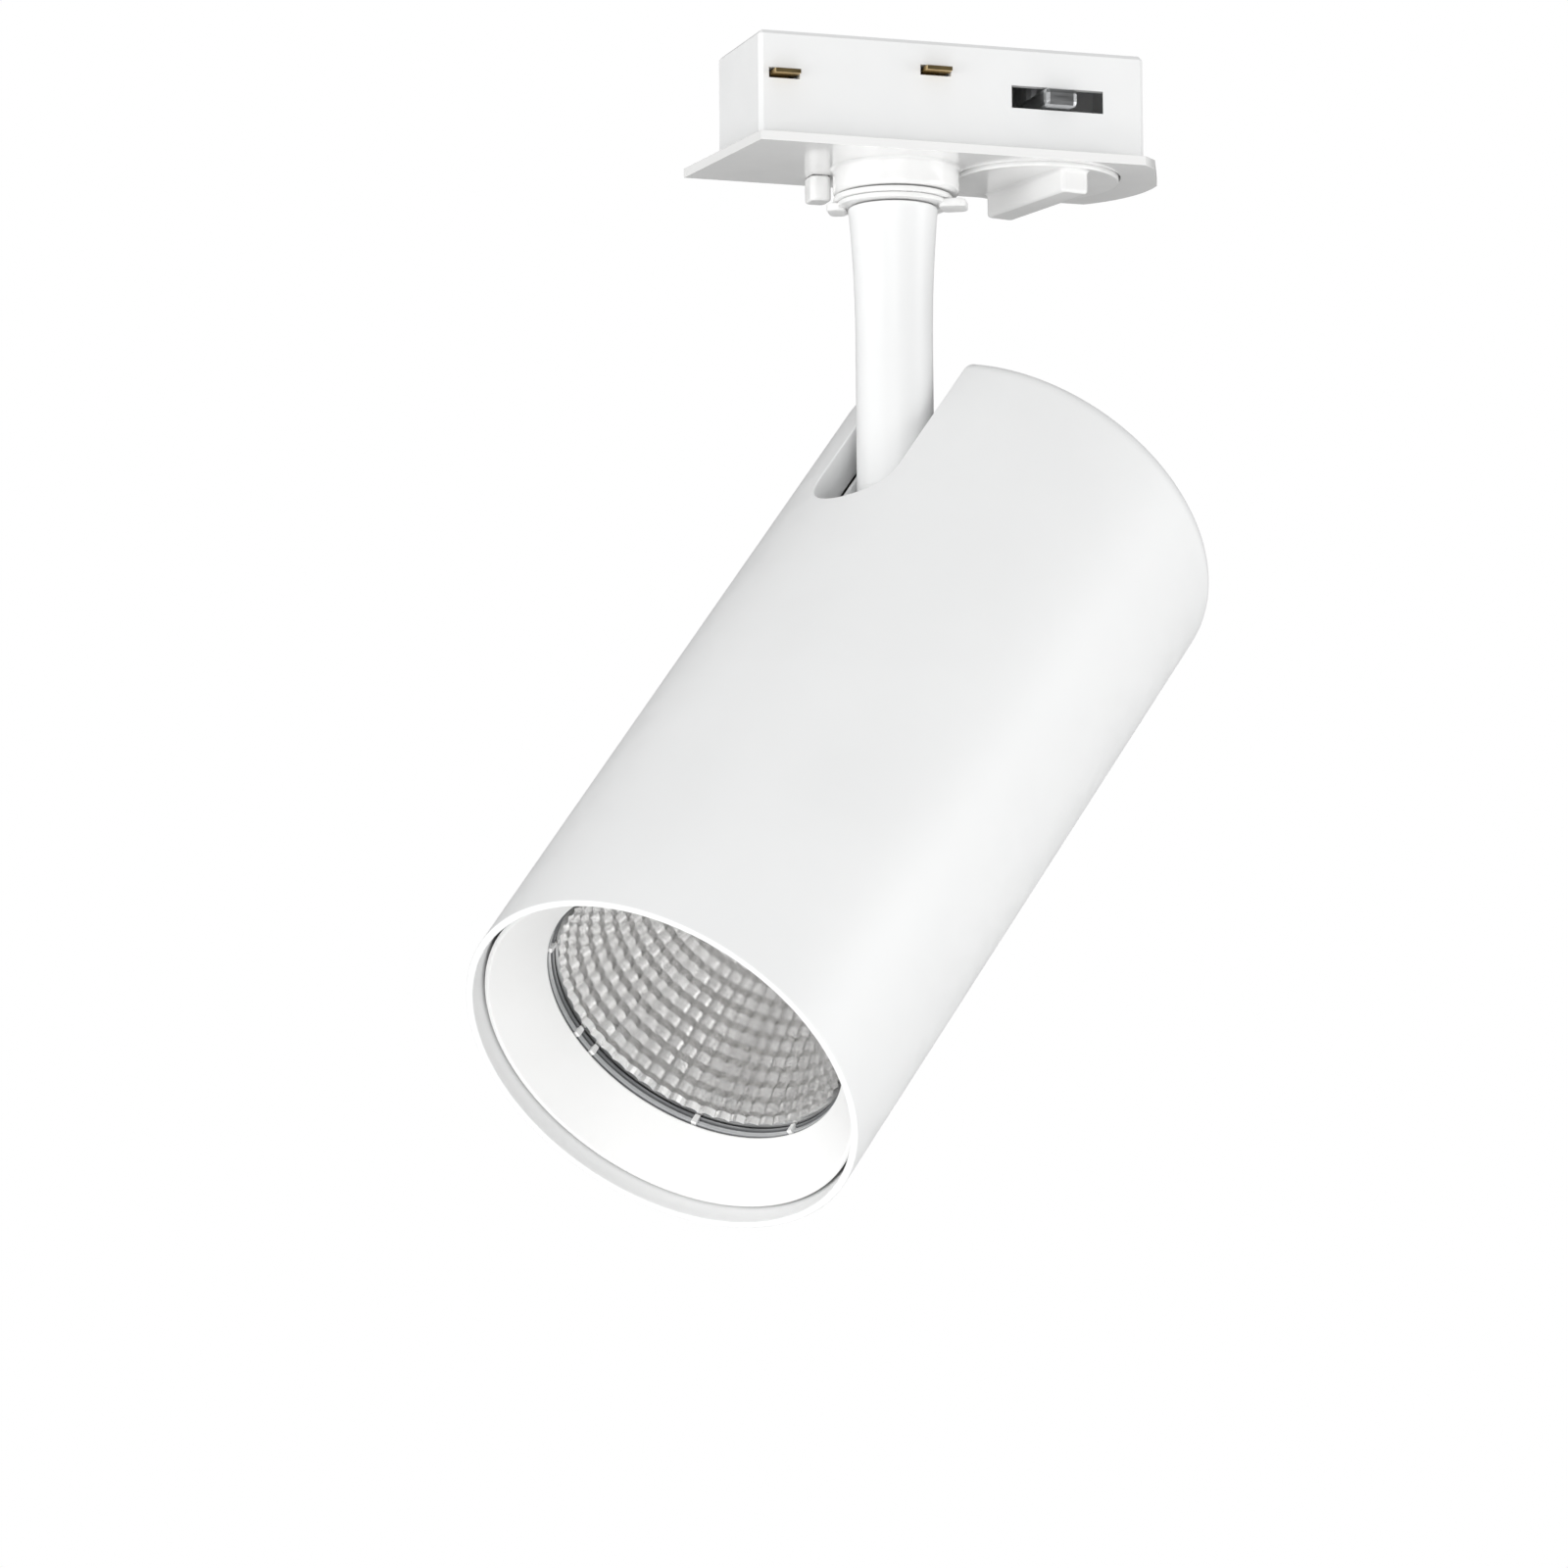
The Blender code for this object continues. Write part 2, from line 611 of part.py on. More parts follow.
def make_liner(head):
    inner = LINER_OUTER - LINER_WALL
    end = SLOT_CENTRE - LINER_OUTER
    low = (COLLAR_DEPTH + GAP, -LINER_OUTER, end)
    high = (SLOT_DEPTH + LINER_WALL, LINER_OUTER, HEAD_BACK - HEAD_BACK_WALL - GAP)
    liner = place(box("slot_liner", low, high, roughness=0.5), head)
    hollow = box("liner_cut", (-BEYOND, -inner, end + LINER_WALL), (SLOT_DEPTH, inner, HEAD_BACK + BEYOND))
    cut(liner, place(hollow, head))
    cut(liner, place(rod("liner_pin_cut", PIN_RADIUS + GAP, -BEYOND, BEYOND, 20, along="Y"), head))


def make_bracket(head):
    steel = {"colour": ZINC, "roughness": 0.4, "metallic": 1.0}
    low = (-FOOT_HALF, -FOOT_REACH, FOOT_BOTTOM)
    bracket = place(box("hinge_bracket", low, (FOOT_HALF, FOOT_REACH, FOOT_TOP), **steel), head)
    outline = arc((0, 0), EAR_RADIUS, 0, pi, 16)
    outline += [(-EAR_RADIUS, FOOT_BOTTOM + 0.0006), (EAR_RADIUS, FOOT_BOTTOM + 0.0006)]
    for side in (-1, 1):
        ends = sorted((side * EAR_INNER, side * EAR_OUTER))
        ear = prism(f"ear_{side}", outline, *ends)
        join(bracket, place(ear, head, rotation=(pi / 2, 0, 0)))
        hole = rod(f"foot_cut_{side}", SCREW_RADIUS + 0.0005, -BEYOND, 0, 12, (0, side * FOOT_SCREW_Y))
        cut(bracket, place(hole, head))
    cut(bracket, place(rod("ear_pin_cut", PIN_RADIUS + GAP, -BEYOND, BEYOND, 20, along="Y"), head))


def make_hinge(head):
    steel = {"colour": ZINC, "roughness": 0.3, "metallic": 1.0}
    head_out = -EAR_OUTER - GAP
    head_end = head_out - PIN_HEAD_HEIGHT
    pin = place(rod("pivot_pin", PIN_RADIUS, head_end + GAP, PIN_END, 20, along="Y", **steel), head)
    join(pin, place(rod("pin_head", PIN_HEAD_RADIUS, head_end, head_out, 24, along="Y"), head))
    across = (-pi / 2, 0, 0)
    for name, side in (("friction_washer_left", -1), ("friction_washer_right", 1)):
        low, high = sorted((side * (KNUCKLE_HALF_WIDTH + GAP), side * (LINER_OUTER - LINER_WALL - GAP)))
        bore = PIN_RADIUS + 2 * GAP
        washer = ring(name, FRICTION_WASHER_RADIUS, bore, low, high, 24, colour=(0.2, 0.2, 0.2))
        place(washer, head, rotation=across)
    low = EAR_OUTER + GAP
    high = low + SPRING_WASHER_HEIGHT
    washer = ring("spring_washer", SPRING_WASHER_RADIUS, PIN_RADIUS + GAP, low, high, 24, **steel)
    place(washer, head, rotation=across)
    low = high + GAP
    nut = rod("tension_nut", TENSION_NUT_RADIUS, low, low + TENSION_NUT_HEIGHT, 6, along="Y", **steel)
    place(nut, head)
    cut(nut, place(rod("tension_nut_cut", PIN_RADIUS + GAP, 0, BEYOND, 20, along="Y"), head))


def make_heat_sink(head, axis):
    core = SINK_CORE_RADIUS
    reach = SINK_RADIUS - 2 * GAP
    inner = asin(SINK_FIN_THICKNESS / 2 / core)
    outer = asin(SINK_FIN_THICKNESS / 2 / reach)
    outline = []
    for fin in range(SINK_FINS):
        middle = 2 * pi * (fin + 0.5) / SINK_FINS
        for radius, angle in ((core, -inner), (reach, -outer), (reach, outer), (core, inner)):
            outline.append((radius * cos(middle + angle), radius * sin(middle + angle)))
    finish = {"colour": (0.7, 0.71, 0.72), "roughness": 0.4, "metallic": 1.0}
    sink = prism("heat_sink", outline, SINK_BASE_TOP - 0.001, SINK_TOP - 0.001, **finish)
    place(sink, axis)
    join(sink, place(rod("sink_base", SINK_RADIUS, SINK_BOTTOM, SINK_BASE_TOP, 48), axis))
    join(sink, place(rod("sink_plate", SINK_RADIUS, SINK_TOP - SINK_PLATE, SINK_TOP, 48), axis))
    for side in (-1, 1):
        bore = SCREW_RADIUS + GAP
        hole = rod(f"sink_foot_cut_{side}", bore, SINK_TOP - 0.0024, 0, 12, (0, side * FOOT_SCREW_Y))
        cut(sink, place(hole, head))
        place_at = (0, side * HOLDER_SCREW_Y)
        hole = rod(f"sink_holder_cut_{side}", bore, SINK_BOTTOM - BEYOND, SINK_BOTTOM + 0.003, 12, place_at)
        cut(sink, place(hole, axis))
    hole = rod("sink_lead_cut", LEAD_HOLE_RADIUS, SINK_BOTTOM - BEYOND, 0, 16, (LEAD_HOLE_X, 0))
    cut(sink, place(hole, axis))


def make_screw(parent, name, centre, seat, point, down):
    """A pan-head screw along Z, with its head above its seat, or below it where down is True."""
    steel = {"colour": ZINC, "roughness": 0.3, "metallic": 1.0}
    head = SCREW_HEAD_HEIGHT
    low, high = (seat - head, seat) if down else (seat, seat + head)
    screw = place(rod(name, SCREW_HEAD_RADIUS, low, high, 16, centre, **steel), parent)
    shank = sorted((seat - head / 2 if down else seat + head / 2, point))
    join(screw, place(rod(f"{name}_shank", SCREW_RADIUS, *shank, 12, centre), parent))


def make_lamp(axis):
    board_low = SINK_BOTTOM - GAP - BOARD_THICKNESS
    chip_top = board_low - GAP
    half = BOARD_HALF_WIDTH
    low = (-half, -half, board_low)
    place(box("led_board", low, (half, half, SINK_BOTTOM - GAP), colour=(0.8, 0.82, 0.8)), axis)
    amber = (0.85, 0.6, 0.12)
    place(rod("led_chip", CHIP_RADIUS, chip_top - CHIP_HEIGHT, chip_top, 32, colour=amber), axis)
    holder = rod("led_holder", HOLDER_RADIUS, HOLDER_BOTTOM, chip_top, 40, colour=(0.9, 0.9, 0.88))
    place(holder, axis)
    low = HOLDER_BOTTOM - BEYOND
    cut(holder, place(rod("holder_bore_cut", HOLDER_BORE, low, 0, 32), axis))
    for side in (-1, 1):
        y = side * HOLDER_SCREW_Y
        cut(holder, place(rod(f"holder_cut_{side}", SCREW_RADIUS + GAP, low, 0, 12, (0, y)), axis))
        name = "holder_screw_left" if side < 0 else "holder_screw_right"
        make_screw(axis, name, (0, y), HOLDER_BOTTOM - GAP, SINK_BOTTOM + 0.002, True)


def bowl(depth):
    """The reflector's radius at a share of its depth: a parabola from the throat to the mouth."""
    return sqrt(THROAT_RADIUS**2 + (MOUTH_RADIUS**2 - THROAT_RADIUS**2) * depth)


def make_optics(axis):
    steps = 8
    inner = []
    outer = []
    for i in range(steps + 1):
        share = i / steps
        height = REFLECTOR_TOP + (REFLECTOR_BOTTOM - REFLECTOR_TOP) * share
        inner.append((bowl(share), height))
        outer.append((bowl(share) + REFLECTOR_WALL, height))
    silver = {"colour": (0.85, 0.85, 0.86), "roughness": 0.12, "metallic": 1.0}
    flange_top = REFLECTOR_BOTTOM + REFLECTOR_WALL
    flange = [(FLANGE_RADIUS, flange_top), (FLANGE_RADIUS, REFLECTOR_BOTTOM)]
    profile = [*outer[:-1], (bowl(1) + REFLECTOR_WALL, flange_top), *flange, *inner[::-1]]
    place(turned("reflector", profile, 40, **silver), axis)
    low = BAFFLE_BACK + BAFFLE_EDGE + GAP
    grey = {"colour": (0.35, 0.35, 0.36), "roughness": 0.3}
    spacer = ring("reflector_ring", FLANGE_RADIUS, BAFFLE_MOUTH, low, REFLECTOR_BOTTOM - GAP, 48, **grey)
    place(spacer, axis)
    skirt = BAFFLE_RADIUS - BAFFLE_WALL
    chamfer = 0.0005
    profile = [(BAFFLE_RADIUS, BAFFLE_SKIRT_TOP), (BAFFLE_RADIUS, BAFFLE_FRONT + chamfer)]
    profile += [(BAFFLE_RADIUS - chamfer, BAFFLE_FRONT), (BAFFLE_LIP, BAFFLE_FRONT)]
    profile += [(BAFFLE_MOUTH, BAFFLE_BACK), (BAFFLE_MOUTH, BAFFLE_BACK + BAFFLE_EDGE)]
    profile += [(skirt, BAFFLE_FRONT + 0.0022), (skirt, BAFFLE_SKIRT_TOP)]
    place(turned("anti_glare_baffle", profile, 64, roughness=0.4), axis)


def make_driver(axis):
    grey = {"colour": (0.75, 0.75, 0.75), "roughness": 0.5}
    bottom = SINK_TOP + 0.0004
    low = (CASE_LEFT, -CASE_HALF_WIDTH, bottom)
    high = (CASE_RIGHT, CASE_HALF_WIDTH, CASE_TOP)
    case = place(box("driver_case", low, high, **grey), axis)
    inner = (CASE_LEFT + CASE_WALL, CASE_WALL - CASE_HALF_WIDTH, bottom + CASE_WALL)
    outer = (CASE_RIGHT + 0.01, CASE_HALF_WIDTH - CASE_WALL, CASE_TOP - CASE_WALL)
    cut(case, box("case_cut", inner, outer))
    low = (CASE_RIGHT + GAP, -CASE_HALF_WIDTH, bottom)
    high = (CASE_RIGHT + GAP + CASE_WALL, CASE_HALF_WIDTH, CASE_TOP)
    lid = place(box("driver_lid", low, high, **grey), axis)
    cut(lid, rod("lid_lead_cut", LEAD_HOLE_RADIUS, 0, CASE_RIGHT + BEYOND, 16, (0, -0.005), "X"))
    low = (-0.0075, -0.0215, -0.0088)
    board = box("driver_board", low, (-0.0059, 0.0215, 0.0255), colour=(0.05, 0.25, 0.12))
    place(board, axis)
    core = {"colour": (0.75, 0.6, 0.15), "roughness": 0.5}
    place(box("driver_transformer", (-0.0056, -0.008, 0.004), (0.0085, 0.0075, 0.02), **core), axis)
    can = {"colour": (0.1, 0.12, 0.2), "roughness": 0.4}
    place(rod("driver_capacitor", 0.0055, -0.003, 0.018, 24, (0.0002, 0.0145), **can), axis)
    coil = {"colour": (0.5, 0.3, 0.15), "roughness": 0.5}
    place(rod("driver_choke", 0.0045, -0.0056, 0.005, 24, (-0.0148, 0.0105), "X", **coil), axis)


def make_led_lead(axis):
    """The lead from the driver's lid, down past the heat sink to the lamp's holder."""
    out = LEAD_HOLE_X
    end = SINK_BOTTOM - 0.005
    route = [(0.0262, -0.005), (0.0292, -0.0051), (0.0318, -0.0062), (0.0332, -0.0085)]
    route += [(out, -0.012), (out, SINK_BASE_TOP), (out, end + 0.0065), (0.0331, end + 0.0035)]
    route += [(0.0315, end + 0.0013), (0.029, end + 0.0002), (0.026, end), (0.022, end)]
    points = [(x, 0, z) for x, z in route]
    place(tube("led_lead", points, 0.0012, 1, colour=(0.85, 0.85, 0.85), roughness=0.5), axis)


def make_adapter():
    adapter = empty("adapter_frame")
    make_cover(adapter)
    make_body(adapter)
    brass = (0.75, 0.55, 0.25)
    make_contact(adapter, "contact_live", CONTACT_X, CONTACT_BOTTOM, 1, brass)
    make_contact(adapter, "contact_neutral", CONTACT_X, CONTACT_BOTTOM, -1, brass)
    make_contact(adapter, "contact_earth", EARTH_X, EARTH_BOTTOM, -1, brass)
    make_terminals(adapter)
    make_latch_spring(adapter)
    make_latch(empty("latch_slide", (LATCH_X, 0, 0), parent=adapter))
    make_lever(empty("lever_axis", (LEVER_X, 0, 0), parent=adapter))
    return adapter


def make_stem(pan):
    make_swivel(pan)
    make_stem_tube(pan)
    make_knuckle(pan)


def make_head(tilt):
    axis = empty("head_axis", (HEAD_OFFSET, 0, 0), parent=tilt)
    make_housing(tilt)
    make_liner(tilt)
    make_bracket(tilt)
    make_hinge(tilt)
    make_heat_sink(tilt, axis)
    for name, side in (("bracket_screw_left", -1), ("bracket_screw_right", 1)):
        make_screw(tilt, name, (0, side * FOOT_SCREW_Y), FOOT_TOP + GAP, SINK_TOP - 0.002, False)
    make_lamp(axis)
    make_optics(axis)
    make_driver(axis)
    make_led_lead(axis)


clear_scene()
PARTS = new_collection("track_spotlight")
CUTTERS = new_collection("cutters")
make_adapter()
pan_axis = empty("pan_axis", rotation=(0, 0, PAN))
make_stem(pan_axis)
make_head(empty("tilt_axis", (0, 0, PIVOT_Z), (0, TILT, 0), pan_axis))
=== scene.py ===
from math import asin, atan2, cos, pi, radians, sin, sqrt

import bmesh
import bpy
from mathutils import Euler, Matrix, Vector
from mathutils.geometry import delaunay_2d_cdt


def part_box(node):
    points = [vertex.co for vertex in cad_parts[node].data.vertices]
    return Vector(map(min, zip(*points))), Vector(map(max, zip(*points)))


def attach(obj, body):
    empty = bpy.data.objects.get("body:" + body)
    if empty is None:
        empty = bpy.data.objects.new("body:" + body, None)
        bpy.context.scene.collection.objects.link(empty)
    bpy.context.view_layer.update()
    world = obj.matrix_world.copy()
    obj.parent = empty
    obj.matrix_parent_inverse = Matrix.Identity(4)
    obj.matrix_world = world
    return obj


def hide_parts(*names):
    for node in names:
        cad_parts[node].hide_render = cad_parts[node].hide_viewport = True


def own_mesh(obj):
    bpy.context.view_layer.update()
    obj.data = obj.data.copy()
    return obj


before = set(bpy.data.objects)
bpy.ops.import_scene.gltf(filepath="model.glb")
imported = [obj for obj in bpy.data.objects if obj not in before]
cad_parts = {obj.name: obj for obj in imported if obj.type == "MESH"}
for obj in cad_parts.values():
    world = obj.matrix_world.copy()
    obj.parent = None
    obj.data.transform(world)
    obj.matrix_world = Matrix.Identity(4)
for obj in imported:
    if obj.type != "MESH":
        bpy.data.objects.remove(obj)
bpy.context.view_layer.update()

# Metres. The adapter is in the row frame, the stem is turned by PAN, and the head hangs on the tilt pivot.
PAN = radians(31.2)
TILT = radians(43.2)
PIVOT_Z = -0.0718
HEAD_OFFSET = 0.024
STEM = Matrix.Rotation(PAN, 4, "Z")
PIVOT = STEM @ Matrix.Translation((0, 0, PIVOT_Z)) @ Matrix.Rotation(TILT, 4, "Y")
HEAD = PIVOT @ Matrix.Translation((HEAD_OFFSET, 0, 0))
MM = 0.001

# Head, as heights along its own axis measured from the pivot. Its radius is a little under the CAD's 40 mm,
# so that a rounder shell stays inside the CAD's box.
HEAD_RADIUS = 39.9 * MM
HEAD_BACK = 33.5 * MM
HEAD_FRONT = -127.3 * MM
HEAD_BORE = 38.5 * MM

# Points nearer than this are joined
MERGE = 0.000001


# --- Materials ---


class Nodes:
    """A material's node tree, with short calls to add and wire its nodes."""

    def __init__(self, name):
        self.material = bpy.data.materials.new(name)
        self.material.use_nodes = True
        self.tree = self.material.node_tree
        self.shader = self.tree.nodes["Principled BSDF"]
        self.object_space = self.tree.nodes.new("ShaderNodeTexCoord").outputs["Object"]

    def add(self, kind, **values):
        node = self.tree.nodes.new(kind)
        for name, value in values.items():
            setattr(node, name, value)
        return node

    def link(self, out, into):
        self.tree.links.new(out, into)

    def noise(self, scale, detail=3.0, stretch=(1, 1, 1), rough=0.5):
        mapping = self.add("ShaderNodeMapping")
        mapping.inputs["Scale"].default_value = stretch
        self.link(self.object_space, mapping.inputs["Vector"])
        noise = self.add("ShaderNodeTexNoise")
        noise.inputs["Scale"].default_value = scale
        noise.inputs["Detail"].default_value = detail
        noise.inputs["Roughness"].default_value = rough
        self.link(mapping.outputs["Vector"], noise.inputs["Vector"])
        return noise.outputs["Fac"]

    def ranged(self, value, low, high, start=0.3, end=0.7):
        """A 0 to 1 value from a noise, spread between two others."""
        node = self.add("ShaderNodeMapRange")
        node.inputs["From Min"].default_value = start
        node.inputs["From Max"].default_value = end
        node.inputs["To Min"].default_value = low
        node.inputs["To Max"].default_value = high
        self.link(value, node.inputs["Value"])
        return node.outputs["Result"]

    def mix(self, factor, one, two):
        node = self.add("ShaderNodeMix", data_type="RGBA")
        self.link(factor, node.inputs["Factor"])
        for socket, colour in (("A", one), ("B", two)):
            for slot in node.inputs:
                if slot.name == socket and slot.type == "RGBA":
                    if isinstance(colour, tuple):
                        slot.default_value = (*colour, 1)
                    else:
                        self.link(colour, slot)
        return [o for o in node.outputs if o.type == "RGBA"][0]

    def bump(self, height, strength, distance, below=None):
        node = self.add("ShaderNodeBump")
        node.inputs["Strength"].default_value = strength
        node.inputs["Distance"].default_value = distance
        self.link(height, node.inputs["Height"])
        if below is not None:
            self.link(below, node.inputs["Normal"])
        return node.outputs["Normal"]


def shade(colour, factor):
    return tuple(min(1.0, c * factor) for c in colour)


def finish(name, colour, roughness, metallic=0.0, grain=900, depth=0.00002, mottle=0.03, spread=0.05,
           stretch=(1, 1, 1), strength=0.25, coat=0.0):
    """A surface with a fine grain in relief, a cloudy change of colour and a patchy gloss."""
    nodes = Nodes(name)
    shader = nodes.shader
    cloud = nodes.ranged(nodes.noise(45, 4, stretch), 0, 1)
    tint = nodes.mix(cloud, shade(colour, 1 - mottle), shade(colour, 1 + mottle))
    nodes.link(tint, shader.inputs["Base Color"])
    gloss = nodes.noise(160, 5, stretch)
    nodes.link(nodes.ranged(gloss, roughness - spread, roughness + spread), shader.inputs["Roughness"])
    shader.inputs["Metallic"].default_value = metallic
    shader.inputs["Coat Weight"].default_value = coat
    shader.inputs["Coat Roughness"].default_value = 0.06
    fine = nodes.noise(grain, 3, stretch, 0.6)
    nodes.link(nodes.bump(fine, strength, depth), shader.inputs["Normal"])
    return nodes.material


WHITE = (0.86, 0.865, 0.865)
CLEAN = (0.86, 0.86, 0.855)
ZINC = (0.62, 0.63, 0.65)
BRASS = (0.78, 0.58, 0.27)


def powder_coat(name, colour=WHITE, roughness=0.42):
    """White powder coat: a low orange peel, with a finer grain in it."""
    nodes = Nodes(name)
    shader = nodes.shader
    cloud = nodes.ranged(nodes.noise(30, 4), 0, 1)
    nodes.link(nodes.mix(cloud, shade(colour, 0.985), shade(colour, 1.012)), shader.inputs["Base Color"])
    gloss = nodes.ranged(nodes.noise(220, 5), roughness - 0.05, roughness + 0.05)
    nodes.link(gloss, shader.inputs["Roughness"])
    peel = nodes.bump(nodes.noise(520, 2), 0.12, 0.00002)
    nodes.link(nodes.bump(nodes.noise(2600, 3), 0.08, 0.00001, peel), shader.inputs["Normal"])
    return nodes.material


def steel(name, colour=ZINC, roughness=0.3):
    """Drawn or turned steel, with its grain stretched along one axis."""
    look = {"grain": 700, "mottle": 0.06, "spread": 0.09, "stretch": (1, 1, 9), "strength": 0.3}
    return finish(name, colour, roughness, metallic=1.0, **look)


def brass(name, roughness=0.28):
    return finish(name, BRASS, roughness, metallic=1.0, mottle=0.12, spread=0.08)


def plastic(name, colour, roughness=0.35, **more):
    look = {"grain": 1300, "mottle": 0.015, "strength": 0.12, **more}
    return finish(name, colour, roughness, **look)


def winding(name, colour):
    """Wound wire or tape: rings along the piece, under a thin varnish."""
    nodes = Nodes(name)
    wave = nodes.add("ShaderNodeTexWave", wave_type="BANDS", bands_direction="Z")
    wave.inputs["Scale"].default_value = 900
    wave.inputs["Distortion"].default_value = 1.2
    nodes.link(nodes.object_space, wave.inputs["Vector"])
    tint = nodes.mix(wave.outputs["Fac"], shade(colour, 0.6), shade(colour, 1.15))
    nodes.link(tint, nodes.shader.inputs["Base Color"])
    nodes.link(nodes.ranged(nodes.noise(300), 0.25, 0.5), nodes.shader.inputs["Roughness"])
    nodes.link(nodes.bump(wave.outputs["Fac"], 0.5, 0.0001), nodes.shader.inputs["Normal"])
    return nodes.material


def circuit(name, colour, line):
    """A printed board: cells of track in a slightly raised mask."""
    nodes = Nodes(name)
    cells = nodes.add("ShaderNodeTexVoronoi", feature="DISTANCE_TO_EDGE", distance="MANHATTAN")
    cells.inputs["Scale"].default_value = 420
    nodes.link(nodes.object_space, cells.inputs["Vector"])
    edge = nodes.ranged(cells.outputs["Distance"], 1, 0, 0.05, 0.12)
    nodes.link(nodes.mix(edge, colour, line), nodes.shader.inputs["Base Color"])
    nodes.link(nodes.ranged(nodes.noise(400), 0.25, 0.42), nodes.shader.inputs["Roughness"])
    nodes.link(nodes.bump(edge, 0.4, 0.00005), nodes.shader.inputs["Normal"])
    return nodes.material


def phosphor(name):
    """Yellow phosphor in clear resin: grains of two sizes under a gloss."""
    nodes = Nodes(name)
    grains = nodes.ranged(nodes.noise(2600, 5), 0, 1)
    nodes.link(nodes.mix(grains, (0.72, 0.42, 0.06), (0.95, 0.72, 0.2)), nodes.shader.inputs["Base Color"])
    nodes.link(nodes.ranged(nodes.noise(900), 0.12, 0.3), nodes.shader.inputs["Roughness"])
    nodes.shader.inputs["Coat Weight"].default_value = 0.6
    nodes.link(nodes.bump(grains, 0.15, 0.00003), nodes.shader.inputs["Normal"])
    return nodes.material


def mirror_facets(name):
    """Vapour-coated plastic: bright, faintly uneven, a little hazy in patches."""
    nodes = Nodes(name)
    shader = nodes.shader
    cloud = nodes.ranged(nodes.noise(70, 4), 0, 1)
    nodes.link(nodes.mix(cloud, (0.85, 0.845, 0.84), (0.91, 0.91, 0.905)), shader.inputs["Base Color"])
    shader.inputs["Metallic"].default_value = 1.0
    nodes.link(nodes.ranged(nodes.noise(260, 4), 0.17, 0.21), shader.inputs["Roughness"])
    nodes.link(nodes.bump(nodes.noise(900, 3), 0.03, 0.00002), shader.inputs["Normal"])
    return nodes.material


MATERIALS = {
    "adapter_cover": plastic("cover_plastic", CLEAN, 0.17, spread=0.04, coat=0.35),
    "adapter_body": plastic("body_plastic", WHITE, 0.45),
    "contact_live": brass("live_brass"),
    "contact_neutral": brass("neutral_brass"),
    "contact_earth": brass("earth_brass", 0.3),
    "terminal_block": plastic("terminal_plastic", (0.75, 0.72, 0.62), 0.4),
    "latch_spring": steel("spring_wire", ZINC, 0.22),
    "lever_disc": plastic("lever_plastic", CLEAN, 0.2, spread=0.04, coat=0.25),
    "lever_cam": steel("cam_zinc", (0.6, 0.61, 0.62), 0.4),
    "latch_slider": plastic("latch_plastic", CLEAN, 0.22, spread=0.04, coat=0.25),
    "swivel_nipple": steel("nipple_steel"),
    "nipple_nut": steel("nut_steel"),
    "wave_washer": steel("wave_steel"),
    "swivel_ring": plastic("swivel_plastic", CLEAN, 0.25),
    "lug_ring": powder_coat("lug_coat", CLEAN, 0.34),
    "stem_tube": powder_coat("stem_coat", WHITE, 0.36),
    "stem_knuckle": powder_coat("knuckle_coat", WHITE, 0.4),
    "supply_lead": plastic("lead_sheath", (0.7, 0.7, 0.7), 0.55),
    "head_housing": powder_coat("housing_coat"),
    "slot_liner": plastic("liner_plastic", WHITE, 0.5),
    "hinge_bracket": steel("bracket_steel", ZINC, 0.38),
    "pivot_pin": steel("pin_steel"),
    "friction_washer_left": plastic("washer_plastic_left", (0.06, 0.06, 0.065), 0.5),
    "friction_washer_right": plastic("washer_plastic_right", (0.06, 0.06, 0.065), 0.5),
    "spring_washer": steel("spring_washer_steel"),
    "tension_nut": steel("tension_nut_steel"),
    "heat_sink": finish(
        "sink_casting", (0.68, 0.69, 0.7), 0.42, 1.0, grain=500, depth=0.00006, mottle=0.08, spread=0.08
    ),
    "bracket_screw_left": steel("bracket_screw_steel_left"),
    "bracket_screw_right": steel("bracket_screw_steel_right"),
    "led_board": circuit("lamp_board", (0.78, 0.79, 0.77), (0.6, 0.5, 0.28)),
    "led_chip": phosphor("phosphor"),
    # The holder's dark warm colour is painted shade: it stands for the holder lying in shadow as the
    # reflector mirrors it.
    "led_holder": plastic("holder_painted_shade", (0.42, 0.38, 0.33), 0.4),
    "holder_screw_left": steel("holder_screw_steel_left"),
    "holder_screw_right": steel("holder_screw_steel_right"),
    "reflector": mirror_facets("facet_coating"),
    "reflector_ring": plastic("ring_plastic", (0.16, 0.165, 0.17), 0.22, coat=0.4),
    "anti_glare_baffle": powder_coat("baffle_coat", (0.89, 0.89, 0.885), 0.45),
    "driver_case": plastic("case_plastic", (0.5, 0.5, 0.51), 0.5),
    "driver_lid": plastic("lid_plastic", (0.52, 0.52, 0.53), 0.5),
    "driver_board": circuit("driver_mask", (0.02, 0.16, 0.06), (0.07, 0.32, 0.14)),
    "driver_transformer": winding("transformer_tape", (0.72, 0.55, 0.12)),
    "driver_capacitor": plastic("capacitor_sleeve", (0.05, 0.06, 0.12), 0.3),
    "driver_choke": winding("choke_wire", (0.5, 0.24, 0.1)),
    "led_lead": plastic("lamp_lead_sheath", (0.78, 0.78, 0.78), 0.5),
}
HOOP_MATERIAL = plastic("hoop_plastic", (0.5, 0.51, 0.52), 0.2, coat=0.5)


# --- Mesh helpers ---


